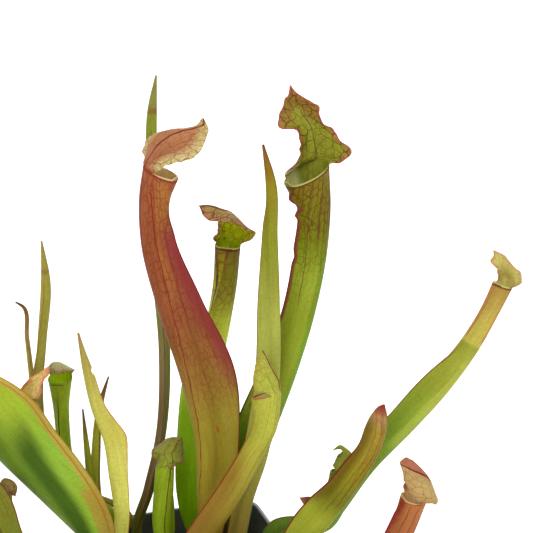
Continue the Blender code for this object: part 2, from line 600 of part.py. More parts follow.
make_pot()
make_soil()
for leaf_name, leaf_shape in PITCHERS.items():
    make_pitcher(leaf_name, leaf_shape)
for leaf_name, leaf_shape in BLADES.items():
    make_blade(leaf_name, leaf_shape)
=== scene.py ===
"""The potted pitcher plant dressed for its picture: fine leaves, soil, pot, floor, light and camera.

Metres, +Z up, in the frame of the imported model. Colours are linear RGB.
"""
import math

import bmesh
import bpy
import numpy as np
from mathutils import Matrix, Vector


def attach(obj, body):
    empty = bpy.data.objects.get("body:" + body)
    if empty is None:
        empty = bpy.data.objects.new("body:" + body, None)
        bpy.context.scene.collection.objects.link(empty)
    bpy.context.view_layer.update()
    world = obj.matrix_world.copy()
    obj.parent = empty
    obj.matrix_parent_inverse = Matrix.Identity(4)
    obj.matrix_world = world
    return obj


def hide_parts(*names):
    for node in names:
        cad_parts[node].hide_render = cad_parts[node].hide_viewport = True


MM = 0.001

# Pot and soil, as in the part's source.
POT_HEIGHT = 90 * MM
RIM_HALF = 45 * MM
WALL_TOP_HALF = 43 * MM
BASE_HALF = 33 * MM
POT_WALL = 1.2 * MM
RIM_BAND = 9 * MM
CORNER_RADIUS = 11 * MM
CORNER_STEPS = 16
WALL_STEPS = 12
DRAIN_RADIUS = 4 * MM
DRAIN_OFFSET = 20 * MM
GAP = 0.3 * MM
SOIL_TOP = 75 * MM
FOOT_DEPTH = 5 * MM

# The peat's top is a grid of points, made uneven by a number of sine waves and heaped round each foot. Crumbs
# lie on it, and one in every few is white perlite. Their sizes are the least and the greatest radius in mm.
PEAT_POINTS = 150
PEAT_WAVES = 60
HEAP_HEIGHT = 0.9 * MM
CRUMBS = 520
PERLITE_EVERY = 9
CRUMB_SIZES = (0.5, 1.5)

# The photograph's view. The leaves are laid out as seen from there, then turned with the crown to the pot's
# own axes.
CROWN_TURN = math.radians(-18.5)
CAMERA_RISE = math.radians(18)
CAMERA_DISTANCE = 0.7
CAMERA_AIMS_RIGHT = 0.0355
CAMERA_AIMS_UP = 0.2335
SENSOR = 36
LENS = 1540 / 533 * SENSOR

# Lamps: name, place, target, size of the square and power in watts.
LAMPS = (
    ("key", (-0.7, -1.0, 1.3), (0, 0, 0.2), 0.9, 10),
    ("fill", (1.1, -0.7, 0.7), (0, 0, 0.2), 1.0, 3),
    ("rim", (0.3, 1.2, 1.0), (0, 0, 0.22), 0.8, 6),
)

# A leaf's thickness, half of the thickness of its wing's edge, the angle from the front where its wing leaves
# the tube, and a tube's radius from front to back as a share of its side radius.
SKIN = 0.5 * MM
WING_EDGE = 0.22 * MM
WING_ROOT_ANGLE = 32
DEPTH_OF_TUBE = 1.04
# The angles between which a hood rises, where the leaf has no hood_from.
HOOD_FROM = (104, 256)

# Each stop on a leaf's middle line is (x, y, z, side radius, wing width) in millimetres, from the soil up.
# The wing, a thin keel, runs down the side that the leaf faces. facing holds the compass angle of that
# side at even steps from the foot to the top, in degrees from X. drop is how far the front of the mouth
# hangs down. A hood is a row of folds from the mouth to its tip, then the tip itself. Each fold is the
# margin that stands anticlockwise of the front, the spine and the other margin, as points (x, y, z).
# hood_from holds the angles round the mouth, from its front, between which the hood rises. cuts are nicks in
# the wing's edge, or points where the depth is negative: (place from foot to mouth, depth in mm, half of the
# length as a share of the leaf).
PITCHERS = {
    "pitcher_red": {
        "foot": (5, -2, 2.4), "facing": (-15, -12), "drop": 2,
        "stops": [(6, -3, 94, 3.6, 3), (7, -4, 118, 4.5, 7), (8, -5, 150, 6, 9), (3, -6, 182, 7, 12),
                  (-7, -6, 217, 7, 7), (-14, -5, 248, 6.8, 2), (-14, -5, 269, 6.8, 0),
                  (-11, -5, 280, 8, 0)],
        "hood": [((-17, 6, 281), (-19, -4, 283), (-11, -13, 282)),
                 ((-19, 6, 284), (-16, -5, 287), (-8, -16, 285)),
                 ((-20, 5, 288), (-13, -5, 291), (-3, -17, 287)),
                 ((-18, 4, 292), (-8, -5, 295), (2, -16, 287)),
                 ((-13, 2, 294), (-3, -5, 298), (6, -14, 290)), ((-5, -1, 296), (2, -5, 299), (9, -10, 295)),
                 ((4.5, -2.5, 299.5), (7.5, -5, 301), (10, -7.5, 299.5)), (7.5, -5, 303.5)],
    },
    "pitcher_tall": {
        "foot": (21, 10, 2.5), "facing": (-150, -160), "drop": 4.5, "hood_from": (149, 316),
        "cuts": [(0.965, -1.6, 0.02), (0.935, 1.5, 0.012), (0.912, -1.2, 0.014), (0.8, 0.6, 0.02)],
        "stops": [(22, 12, 92, 4, 3), (25, 12, 115, 5, 6), (33, 11, 148, 6.5, 8), (43, 10, 179, 6.8, 5),
                  (51, 9, 209, 7, 2), (56, 8, 239, 7.2, 1.5), (57, 6, 261, 7.4, 1), (53, 5, 278, 10.6, 0)],
        "hood": [((68, 4, 281), (58, 14, 281), (44, 0, 277)), ((74, 5, 287), (57, 14, 286), (50, 6, 283)),
                 ((67, 7, 292), (56, 13, 292), (51, 8, 289)), ((65, 6, 296), (55, 12, 296), (48, 6, 295)),
                 ((60, 6, 301), (53, 11, 299), (42, 3, 297)), ((58, 6, 306), (50, 10, 304), (41, 3, 303)),
                 ((53, 6, 310), (47, 9, 308), (43.5, 5, 310)),
                 ((49, 8, 312), (47, 8, 311.5), (45, 6.5, 311)), (46, 7, 315.5)],
    },
    "pitcher_back": {
        "foot": (5, 15, 2.4), "facing": (-150, -150, -150, -95), "drop": 0,
        "stops": [(5, 17, 92, 4.5, 5), (4, 17, 113, 5.5, 8), (6, 18, 145, 6, 9), (8, 18, 176, 6, 7),
                  (13, 18, 201, 5.6, 4), (16, 18, 219, 5.6, 1), (17.5, 18, 238, 6, 0)],
        "hood": [((27, 12, 242), (20, 24, 241), (11, 17, 241)), ((30, 8, 247), (22, 23, 245), (12, 17, 245)),
                 ((25, 6, 251), (21, 20, 251), (13, 17, 248)), ((19, 4, 253), (19, 16, 255), (15, 17, 252)),
                 ((13, 3, 254), (15, 13, 257), (13, 16, 255)), ((7, 2, 257), (10, 8, 260), (9, 12, 258)),
                 ((6, 4, 258.5), (7.5, 7, 260.5), (7, 9, 259.5)), (5, 6.5, 260.5)],
    },
    "pitcher_front": {
        "foot": (-9, -22, 2.5), "facing": (-170, -172), "drop": 3,
        "stops": [(-3, -22, 96, 4.2, 2), (8, -22, 112, 4.8, 3), (19, -21, 130, 5, 2), (30, -20, 152, 5, 1),
                  (35, -22, 166, 5.6, 0.5), (35.5, -18.5, 179.5, 6.6, 0)],
        "hood": [((35, -25, 182), (42, -19, 181), (37, -13, 178)),
                 ((31, -25, 182), (41.5, -19, 185), (33, -13, 179)),
                 ((29.5, -25, 186), (40, -19, 188), (31, -13, 183)),
                 ((30, -24, 191), (38, -19, 192), (32, -14, 188)),
                 ((31, -22, 196), (36, -19, 196), (33, -16, 194)), (34, -19, 200)],
    },
    "pitcher_long_right": {
        "foot": (34, 11, 2.5), "facing": (180, 180, 180, 225), "drop": 2,
        "stops": [(35, 11, 88, 2.8, 0.5), (40, 11.5, 95.5, 3.1, 1), (48, 12, 97, 3.5, 1),
                  (57, 12, 95, 3.9, 1), (64, 12, 98, 4.2, 2), (70, 12.5, 107, 4.3, 2),
                  (84, 13.5, 129, 4.8, 3), (102, 14.5, 150, 5.3, 3), (118.5, 15.5, 170.5, 5.6, 2.5),
                  (131.5, 16, 189, 4.8, 0.3), (142, 18, 208.5, 4.4, 0), (147, 21, 218.5, 4.8, 0)],
        "hood": [((153, 16, 218.5), (150, 25, 220), (145, 24, 220)),
                 ((154, 14, 222), (149, 23, 224), (144, 22, 224)),
                 ((153, 14, 227), (147, 21, 227), (142, 20, 227)),
                 ((149, 14, 231), (145, 19, 230), (140, 18, 230)),
                 ((146, 15, 234), (143, 18, 233), (141, 17, 233)), (141, 17, 236)],
    },
    "pitcher_hook": {
        "foot": (29, 3, 1.8), "facing": (180, 180), "drop": 1,
        "stops": [(32, 3, 88, 2.1, 0.5), (46, 4, 96, 2.3, 1), (60, 5, 104, 2.6, 1), (67, 5, 119, 2.9, 0),
                  (69.5, 5, 129, 3.3, 0)],
        "hood": [((67, 1, 134), (74, 5, 135), (68, 9, 131)), ((69, 1, 137), (76, 5, 138), (70, 9, 136)),
                 ((72, 2, 139.5), (74, 5, 140.5), (72, 7, 139)), ((71, 3, 141), (71, 5, 142.5), (71, 7, 141)),
                 (67, 5, 140)],
    },
    "pitcher_bud_right": {
        "foot": (37, -5, 1.6), "facing": (180, 180), "drop": 1,
        "stops": [(39, -5, 90, 1.7, 0.4), (47, -5, 101, 1.9, 0.5), (54, -5, 107, 2.1, 0.3),
                  (55.5, -5, 115, 2.6, 0)],
        "hood": [((53, -8, 118), (57, -5, 120), (53, -2, 116)), (51, -5, 120)],
    },
    "pitcher_rust_right": {
        "foot": (36, -24, 2.4), "facing": (-165, -165), "drop": 1, "hood_from": (104, 300),
        "stops": [(42, -26, 90, 3, 1), (56, -28, 101, 3.5, 2), (73, -30, 95, 4, 2), (88, -32, 98, 4.6, 3),
                  (96, -33, 113, 5, 3), (102.5, -33, 134, 5.9, 0)],
        "hood": [((111, -42, 135), (111, -30, 134), (98, -29, 138)),
                 ((106, -45, 137), (111, -31, 139), (100, -27, 140)),
                 ((102, -45, 140), (109, -32, 143), (104, -25, 144)),
                 ((99, -43, 143), (106, -32, 145), (101, -26, 149)),
                 ((97, -40, 145), (102, -32, 147), (98.5, -27, 151)),
                 ((97, -36, 147), (99, -32, 148.5), (96, -29, 150)), (96, -32, 150)],
    },
    "pitcher_broad_left": {
        "foot": (-29, -14, 2.6), "facing": (-10, -20), "drop": 6,
        "stops": [(-31, -14.5, 90, 3.2, 1), (-41, -16, 99, 4.2, 4), (-49, -17, 113, 7, 7),
                  (-66, -20, 141, 11.2, 8), (-77, -22, 155, 11.4, 11), (-90, -25, 172, 10.6, 16),
                  (-104, -28, 188, 8.8, 12), (-114, -30, 199, 9.4, 2)],
        "hood": [((-117, -20, 207), (-126, -29, 208), (-119, -39, 206)),
                 ((-113, -17, 214), (-128, -28, 217), (-116, -42, 212)),
                 ((-106, -18, 219), (-124, -28, 225), (-109, -41, 217)),
                 ((-99, -21, 221), (-116, -28, 229), (-101, -38, 219)),
                 ((-95, -25, 221), (-106, -29, 228), (-96, -34, 219)), (-89, -30, 222)],
    },
    "pitcher_low_left": {
        "foot": (-27, -32, 2.4), "facing": (-20, -20), "drop": 4,
        "stops": [(-28, -33, 92, 2.8, 1), (-42, -36, 104, 3.4, 2), (-60, -39, 99, 4, 2),
                  (-75, -41, 105, 4.8, 3), (-83, -43, 122, 5.7, 4), (-87, -44, 140, 6, 3),
                  (-93, -45, 153, 5.6, 1), (-100, -46, 165, 6.2, 0)],
        "hood": [((-103, -40, 172), (-109, -46, 171), (-104, -52, 171)),
                 ((-100, -38, 178), (-110, -46, 178), (-102, -53, 176)),
                 ((-95, -39, 182), (-106, -46, 184), (-97, -52, 180)),
                 ((-91, -42, 182), (-99, -46, 186), (-92, -49, 181)), (-90, -46, 183)],
    },
    "pitcher_bud_left": {
        "foot": (-33, -23, 1.6), "facing": (0, 0), "drop": 1,
        "stops": [(-33, -24, 92, 1.7, 0.4), (-46, -26, 104, 1.9, 0.6), (-62, -27, 100, 2.1, 0.8),
                  (-76, -28, 104, 2.3, 0.8), (-83, -29, 116, 2.4, 0.6), (-84, -30, 135, 3.4, 0)],
        "hood": [((-83, -26, 137), (-84, -30, 142), (-84, -34, 138)),
                 ((-81, -26, 134), (-80, -30, 141), (-82, -34, 136)),
                 ((-79, -28, 134), (-78, -30, 138), (-80, -33, 135)), (-79, -30, 133)],
    },
    "pitcher_pink": {
        "foot": (-38, -5, 2.4), "facing": (-10, -45), "drop": 3,
        "stops": [(-39, -5, 94, 2.8, 1), (-53, -4, 106, 3.5, 2), (-64, -4, 124, 4, 3),
                  (-71, -4, 146, 4.4, 2), (-76, -4, 168, 5, 0)],
        "hood": [((-70, -8, 172), (-77, 1, 172), (-80, -3, 174)),
                 ((-68, -8, 177), (-74, 0, 176), (-78, -1, 176)),
                 ((-67, -7, 180), (-71, -2, 179.5), (-74.5, 0, 179)),
                 ((-65, -5, 183), (-67.5, -3, 182.5), (-70, -1, 182)), (-65, -3, 186)],
    },
    "pitcher_green_left": {
        "foot": (-36, 21, 2.2), "facing": (-100, -100), "drop": 4,
        "stops": [(-39, 22, 94, 2.8, 0.5), (-55, 24, 107, 3.4, 1), (-62, 21, 125, 3.8, 2),
                  (-63, 18, 145, 3.5, 2), (-63, 16, 160, 4, 1), (-63, 17.5, 174, 5.8, 0)],
        "hood": [((-57, 13, 176), (-63, 22, 176), (-68, 14, 176)),
                 ((-56, 11, 178), (-64, 20, 179), (-69, 13, 178)),
                 ((-55, 9, 179), (-64, 15, 181), (-68, 11, 180)),
                 ((-57, 7, 180), (-63, 10, 181), (-67, 8, 179)),
                 (-62, 6, 178.5)],
    },
    "pitcher_low_green": {
        "foot": (-12, -6, 2.2), "facing": (5, 70), "drop": 2,
        "stops": [(-13, -8, 91, 3.4, 1), (-14, -8, 110, 4.6, 3), (-13, -8, 125, 4.6, 2),
                  (-12, -9, 138, 4.4, 0)],
        "hood": [((-16, -8, 141), (-11, -13, 143), (-6.5, -8, 139)),
                 ((-18, -7, 143), (-11, -13, 147), (-3, -5, 139)),
                 ((-17, -5, 146), (-9, -11, 149), (-3, -3, 143)),
                 ((-11, -3, 150), (-7, -8, 151), (-4, -3, 147)),
                 (-4, -5, 151)],
    },
}

# Leaves with no mouth: flat winged blades, and one pitcher that hasn't opened. depth is the front-to-back
# radius of the rib as a share of its side radius.
BLADES = {
    "pitcher_closed": {
        "foot": (28, -14, 2.5), "facing": (180, 180), "depth": 1.05,
        "stops": [(31, -14, 88, 3, 0.5), (46, -15, 97, 4.4, 3), (58, -15, 110, 5.2, 5.5),
                  (64, -15, 118.5, 5.2, 5), (71, -15, 129, 5.2, 2.5), (78, -14, 140, 5.2, 1.5),
                  (83.5, -14, 151, 5, 0.4), (86, -14, 160, 4.7, 0), (87.5, -14, 166, 3.5, 0),
                  (88.5, -14, 169.5, 2, 0), (89.5, -14, 171.5, 0.4, 0)],
    },
    "blade_tall": {
        "foot": (-22, 11, 1.8), "facing": (-85, -85), "depth": 0.8,
        "stops": [(-28, 14, 90, 2.4, 1), (-22, 16, 114, 2.6, 3), (-16, 17, 140, 2.5, 3),
                  (-13, 18, 185, 2.8, 3), (-16, 18, 231, 2.6, 3), (-17, 17, 275, 2.5, 2),
                  (-16, 17, 303, 2.1, 0), (-14, 17, 318, 0.4, 0)],
    },
    "blade_centre": {
        "foot": (19, -6, 2), "facing": (180, 180), "depth": 1.35, "cuts": [(0.945, 1.2, 0.018)],
        "stops": [(22, -6, 98, 2.6, 2), (26, -6, 119, 2.4, 3), (33, -7, 142, 2.2, 6), (39, -7, 185, 2, 6),
                  (39, -7, 220, 1.9, 5), (38, -7, 250, 1.9, 2), (37.5, -7, 274, 1.8, 0),
                  (34, -7, 292, 0.4, 0)],
    },
    "blade_left": {
        "foot": (-41, 13, 1.8), "facing": (-160, -90), "depth": 1.0,
        "stops": [(-43, 13, 95, 2.2, 1), (-58, 12, 106, 2.4, 2), (-69, 12, 128, 2.4, 3),
                  (-73, 12, 165, 2.3, 4), (-70, 12, 193, 2.2, 2), (-67, 12, 222, 2.3, 1),
                  (-68, 12, 242, 0.4, 0)],
    },
    "blade_thin_left": {
        "foot": (-30, 27, 1.5), "facing": (-120, -120), "depth": 1.0,
        "stops": [(-34, 29, 94, 1.7, 0.5), (-50, 31, 102, 1.8, 1), (-66, 30, 105, 1.8, 1),
                  (-75, 28, 120, 1.7, 1), (-77, 26, 152, 1.5, 1), (-79, 24, 190, 1.1, 0),
                  (-80, 23, 206, 0.8, 0), (-83, 21, 209, 0.4, 0)],
    },
    "blade_yellow": {
        "foot": (-23, -6, 2), "facing": (0, 0), "depth": 1.35,
        "cuts": [(0.612, -0.9, 0.05), (0.86, 0.9, 0.014)],
        "stops": [(-34, -8, 97, 2.2, 1), (-34, -8, 112, 2, 2), (-36, -9, 134, 1.9, 4),
                  (-38, -10, 152, 1.8, 5.5), (-43, -10, 168, 1.8, 2), (-47, -10, 188, 1.4, 1),
                  (-50, -10, 205, 0.4, 0)],
    },
    "blade_short": {
        "foot": (-39, 2, 1.5), "facing": (-90, -90), "depth": 0.9,
        "stops": [(-43, 3, 90, 1.8, 1), (-48, 3, 120, 2, 1), (-50, 3, 145, 1.3, 0),
                  (-51, 3, 162, 0.4, 0)],
    },
    "blade_brown_tip": {
        "foot": (-32, 6, 1.8), "facing": (-60, -60), "depth": 0.9,
        "stops": [(-40, 8, 92, 2.2, 1), (-46, 9, 109, 2.6, 2), (-46, 9, 140, 2.2, 2),
                  (-43, 9, 163, 1.4, 0), (-39, 9, 176, 0.4, 0)],
    },
}

# A hood leaves the back of the mouth and takes its own shape over this share of its length. Its skin is
# bowed from margin to margin, as a power of the distance from its spine.
HOOD_BLEND = 0.45
HOOD_BOW = 1.8
HOOD_ROOT_STEP = 3 * MM
HOOD_TIP_HALF = 0.25 * MM
# A hood's margins are waved. Each wave is (height, length, start), and is less high on a hood with a half
# width under WAVED_HALF and within WAVE_FADE of the length from either end.
WAVES = ((0.9 * MM, 15 * MM, 0.2), (0.35 * MM, 5.3 * MM, 0.6))
WAVED_HALF = 9 * MM
WAVE_FADE = 0.25

# Rows up a leaf, and columns round it: on each side of its wing, on each side of its front, and at its back.
TUBE_ROWS = 180
HOOD_ROWS = 48
FIN_COLUMNS = 6
FRONT_COLUMNS = 12
BACK_COLUMNS = 37
BLADE_COLUMNS = 34
# The columns round the mouth from which the hood rises.
HOOD_AT = FIN_COLUMNS + FRONT_COLUMNS
HOOD_TO = HOOD_AT + BACK_COLUMNS

# Where up a tube its hollow begins, the step that gives a middle line its direction, the least side radius,
# and the width under which a wing fades into its tube.
BORE_FROM = 0.45
NUDGE = 0.004
LEAST_GIRTH = 0.25 * MM
FIN_FADES_AT = 1.5 * MM
# The bead along a mouth is thinner where the mouth's side radius is under FULL_LIP_GIRTH.
LIP_RADIUS = 0.45 * MM
LIP_STEPS = 8
FULL_LIP_GIRTH = 5 * MM
# The distance from a margin that the bead and the inside of a tube are given.
LIP_MARGIN = 5 * MM
BORE_MARGIN = 10 * MM


def smooth(knots, values, at):
    """Cubic curve through the values at the knots, read at the given places."""
    knots = np.asarray(knots, float)
    flat = np.asarray(values, float).reshape(len(knots), -1)
    slopes = np.gradient(flat, knots, axis=0)
    at = np.clip(np.asarray(at, float), knots[0], knots[-1])
    i = np.clip(np.searchsorted(knots, at, side="right") - 1, 0, len(knots) - 2)
    span = (knots[i + 1] - knots[i])[:, None]
    t = (at - knots[i])[:, None] / span
    start = flat[i] * (2 * t**3 - 3 * t**2 + 1) + slopes[i] * span * (t**3 - 2 * t**2 + t)
    end = flat[i + 1] * (3 * t**2 - 2 * t**3) + slopes[i + 1] * span * (t**3 - t**2)
    return start + end


def eased(value):
    """A smooth step from 0 to 1 as the value goes from 0 to 1."""
    value = np.clip(value, 0, 1)
    return value * value * (3 - 2 * value)


def unit(vectors):
    """The same directions with length 1."""
    return vectors / np.linalg.norm(vectors, axis=-1, keepdims=True)


def turned(points):
    """Points of the leaf layout in the pot's own axes."""
    c, s = math.cos(CROWN_TURN), math.sin(CROWN_TURN)
    return points @ np.array([[c, s, 0], [-s, c, 0], [0, 0, 1]])


def depth_of_cuts(leaf, at):
    """How deep the nicks in the edge of a leaf's wing are at places along it, in millimetres."""
    cuts = leaf.get("cuts", [])
    return sum(deep * np.clip(1 - np.abs(at - place) / half, 0, 1) for place, deep, half in cuts)


def in_scene(name, data):
    """A new object in the scene."""
    made = bpy.data.objects.new(name, data)
    bpy.context.scene.collection.objects.link(made)
    return made


class Axis:
    """A leaf's middle line: centres, directions and sizes at evenly spaced rows."""

    def __init__(self, leaf, rows):
        x, y, girth = leaf["foot"]
        foot = [(x, y, (SOIL_TOP - FOOT_DEPTH) / MM, girth, 0), (x, y, SOIL_TOP / MM + 1, girth, 0)]
        stops = np.array(foot + leaf["stops"], float) * MM
        steps = np.linalg.norm(np.diff(stops[:, :3], axis=0), axis=1)
        self.length = steps.sum()
        knots = np.concatenate([[0], np.cumsum(steps)]) / self.length
        self.at = np.linspace(0, 1, rows)
        self.centre = smooth(knots, stops[:, :3], self.at)
        ahead = smooth(knots, stops[:, :3], self.at + NUDGE)
        self.along = unit(ahead - smooth(knots, stops[:, :3], self.at - NUDGE))
        turns = leaf["facing"]
        facing = np.radians(np.interp(self.at, np.linspace(0, 1, len(turns)), turns))
        lying = (1 - self.along[:, 2]) ** 2
        toward = np.stack([np.cos(facing), np.sin(facing), lying], -1)
        self.front = unit(toward - (toward * self.along).sum(-1, keepdims=True) * self.along)
        self.side = np.cross(self.along, self.front)
        sizes = smooth(knots, stops[:, 3:], self.at)
        self.girth = np.maximum(sizes[:, 0], LEAST_GIRTH)
        self.wing = np.maximum(sizes[:, 1] - depth_of_cuts(leaf, self.at) * MM, 0)


class Skin:
    """Points and faces of one leaf, with the values that its material reads at every point."""

    VALUES = ("along", "hood", "inside", "margin", "lip", "fin", "round")

    def __init__(self):
        self.points, self.grain, self.faces = [], [], []
        self.values = {name: [] for name in self.VALUES}
        self.count = 0

    def add(self, points, grain, **values):
        """Adds a grid of points and returns their numbers in the same grid."""
        shape = points.shape[:-1]
        self.points.append(points.reshape(-1, 3))
        self.grain.append(np.broadcast_to(grain, points.shape).reshape(-1, 3))
        for name in self.VALUES:
            self.values[name].append(np.broadcast_to(values.get(name, 0.0), shape).ravel())
        index = np.arange(self.count, self.count + math.prod(shape)).reshape(shape)
        self.count += math.prod(shape)
        return index

    def quads(self, index):
        """Faces between the rows and columns of a grid of point numbers."""
        a, b = index[:-1, :-1], index[:-1, 1:]
        c, d = index[1:, 1:], index[1:, :-1]
        self.faces.append(np.stack([a, b, c, d], -1).reshape(-1, 4))

    def cap(self, ring):
        """A flat end on a ring of points, as a strip of faces from one side to the other."""
        half = len(ring) // 2
        self.quads(np.stack([ring[:half], ring[::-1][:half]], axis=1))

    def build(self, name):
        """The finished object."""
        mesh = bpy.data.meshes.new(name)
        points = turned(np.concatenate(self.points))
        mesh.from_pydata(points.tolist(), [], np.concatenate(self.faces).tolist())
        bm = bmesh.new()
        bm.from_mesh(mesh)
        bmesh.ops.recalc_face_normals(bm, faces=bm.faces)
        if bm.calc_volume(signed=True) < 0:
            bmesh.ops.reverse_faces(bm, faces=bm.faces)
        bm.to_mesh(mesh)
        bm.free()
        mesh.shade_smooth()
        for value, parts in self.values.items():
            layer = mesh.attributes.new(value, "FLOAT", "POINT")
            layer.data.foreach_set("value", np.concatenate(parts).astype(np.float32))
        layer = mesh.attributes.new("grain", "FLOAT_VECTOR", "POINT")
        layer.data.foreach_set("vector", np.concatenate(self.grain).astype(np.float32).ravel())
        return in_scene(name, mesh)


def section(axis, angles, depth, inset=0.0):
    """Points of a tube's skin with its fin, and the sideways and margin distances at each point."""
    across = (axis.girth - inset)[:, None]
    deep = (axis.girth * depth - inset)[:, None]
    wing = axis.wing[:, None] * (0 if inset else 1)
    root = math.radians(WING_ROOT_ANGLE)
    t = np.linspace(0, 1, FIN_COLUMNS, endpoint=False)[None, :]
    reach = wing + deep * (1 - math.cos(root))
    edge = np.minimum(WING_EDGE, across * 0.3)
    power = np.clip(across / deep / math.tan(root) * reach / (across * math.sin(root)), 1, 3.5)
    thin = edge + (across * math.sin(root) - edge) * t**power
    fin = eased(wing / FIN_FADES_AT)
    side = (1 - fin) * across * np.sin(root * t) + fin * thin
    front = (1 - fin) * deep * np.cos(root * t) + fin * (deep + wing - t * reach)
    theta = np.radians(angles)[None, :]
    ring_side, ring_front = across * np.sin(theta), deep * np.cos(theta)
    sides = np.concatenate([side, ring_side, -side[:, ::-1]], axis=1)
    fronts = np.concatenate([front, ring_front, front[:, ::-1]], axis=1)
    points = axis.centre[:, None] + axis.side[:, None] * sides[..., None]
    points = points + axis.front[:, None] * fronts[..., None]
    fin_around = across * (math.pi - root) + (1 - t) * reach
    ring_around = across * (math.pi - theta)
    around = np.concatenate([fin_around, ring_around, -fin_around[:, ::-1]], axis=1)
    margin = fin_around[:, :1] - np.abs(around)
    return points, around, margin


def ring_angles(leaf):
    """Angles round a tube from its wing, in degrees, with the hood's own columns in the middle."""
    first, last = leaf.get("hood_from", HOOD_FROM)
    right = np.linspace(WING_ROOT_ANGLE, first, FRONT_COLUMNS, endpoint=False)
    left = np.linspace(last, 360 - WING_ROOT_ANGLE, FRONT_COLUMNS + 1)[1:]
    return np.concatenate([right, np.linspace(first, last, BACK_COLUMNS), left])


def shares_round(angles):
    """Where each column stands round a leaf: 0 at its back, 1 and -1 on the two sides of its wing."""
    root = np.linspace(0, WING_ROOT_ANGLE, FIN_COLUMNS, endpoint=False)
    return 1 - np.concatenate([root, angles, 360 - root[::-1]]) / 180


def grain_of(around, distance):
    """The leaf's own flat coordinates in millimetres: sideways from its back, and up from its foot."""
    return np.stack([around / MM, np.broadcast_to(distance, around.shape) / MM, np.zeros_like(around)], -1)


def drop_front(rows, angles, axis, drop):
    """Lowers the front of the mouth, so that it slants down from the hood to the lip."""
    full = np.radians(np.concatenate([np.zeros(FIN_COLUMNS), angles, np.zeros(FIN_COLUMNS)]))
    share = (1 + np.cos(full)) / 2
    near = np.clip((axis.at - 1) * 4.5 + 1, 0, 1) ** 1.5
    return rows - axis.along[:, None] * (near[:, None] * share * drop)[..., None]


def margin_wave(distance, half):
    """How far a hood's margin waves out of its skin, at distances along it, for its half widths."""
    waves = sum(height * np.sin(2 * math.pi * (distance / length + start)) for height, length, start in WAVES)
    return waves * np.minimum(half / WAVED_HALF, 1)


def hood_grid(axis, rim, leaf):
    """Points of the hood's upper skin row by row to its tip, with each point's distances."""
    *folds, tip = leaf["hood"]
    root = rim[[0, len(rim) // 2, -1]]
    ends = np.array(folds[-1]) * MM
    point = np.array(tip) * MM + np.outer((1, 0, -1), unit(ends[0] - ends[2]) * HOOD_TIP_HALF)
    lines = np.array([root - axis.along[-1] * HOOD_ROOT_STEP, root, *(np.array(folds) * MM), point])
    steps = np.linalg.norm(np.diff(lines, axis=0), axis=2).mean(axis=1)
    length = steps[1:].sum()
    knots = np.concatenate([[-steps[0]], [0], np.cumsum(steps[1:])]) / length
    places = np.linspace(0, 1, HOOD_ROWS + 1)
    right, spine, left = np.moveaxis(smooth(knots, lines, places).reshape(-1, 3, 3), 1, 0)[:, :, None]
    u = np.linspace(1, -1, len(rim))[None, :, None]
    grid = spine + (right - left) / 2 * u + ((right + left) / 2 - spine) * np.abs(u) ** HOOD_BOW
    at = places[:, None]
    grid = grid + (1 - eased(at / HOOD_BLEND))[..., None] * (rim - grid[0])
    normal = unit(np.cross(np.gradient(grid, axis=0), np.gradient(grid, axis=1)))
    half = np.linalg.norm(right - left, axis=2) / 2
    wave = margin_wave(at * length + np.where(u[..., 0] > 0, 0, 4 * MM), half)
    wave = wave * np.abs(u[..., 0]) ** 3 * eased(at / WAVE_FADE) * eased((1 - at) / WAVE_FADE)
    grid = grid + normal * wave[..., None]
    across = np.cumsum(np.linalg.norm(np.diff(grid, axis=1, prepend=grid[:, :1]), axis=2), axis=1)
    around = across[:, len(rim) // 2][:, None] - across
    margin = np.minimum(np.minimum(across, across[:, -1:] - across), (1 - at) * length + SKIN)
    return grid[1:], around[1:], margin[1:], at[1:], at[1:] * length


def lining_of(root, hood, margins):
    """The hood's lower skin, one leaf thickness under the upper one and thinner at its margins."""
    grid = np.concatenate([root, hood])
    normal = unit(np.cross(np.gradient(grid, axis=0), np.gradient(grid, axis=1)))[2:]
    thick = SKIN * (0.5 + 0.5 * eased(margins / (2 * MM)))
    return hood + normal * thick[..., None]


def add_lip(skin, rim, thickness, distance):
    """A pale rolled bead along the front of the mouth, tapering to its two ends."""
    turns = np.linspace(0, 2 * math.pi, LIP_STEPS + 1)
    ahead = unit(np.gradient(rim, axis=0))
    out = unit(rim - rim.mean(axis=0))
    out = unit(out - (out * ahead).sum(-1, keepdims=True) * ahead)
    third = np.cross(ahead, out)
    ends = np.sin(np.linspace(0, math.pi, len(rim))) ** 0.5
    radius = LIP_RADIUS * thickness * np.clip(ends, 0.15, 1)
    ring = out[:, None] * np.cos(turns)[None, :, None] + third[:, None] * np.sin(turns)[None, :, None]
    points = rim[:, None] + ring * radius[:, None, None]
    grain = grain_of(np.zeros(points.shape[:2]), distance)
    skin.quads(skin.add(points, grain, along=1.0, lip=1.0, margin=LIP_MARGIN))


def front_of_mouth(ring):
    """The part of a ring in front of the hood, without the wing's columns."""
    rim = np.concatenate([ring[HOOD_TO - 1:], ring[:HOOD_AT + 1]])
    return rim[np.r_[0:FRONT_COLUMNS + 1, FRONT_COLUMNS + 1 + FIN_COLUMNS * 2:len(rim)]]


def free_edge(ring, sheet):
    """The edge of one skin: along the front of the mouth and round the hood's margins."""
    return np.concatenate([ring[:HOOD_AT], sheet[:, 0], sheet[-1, 1:-1], sheet[::-1, -1], ring[HOOD_TO:]])


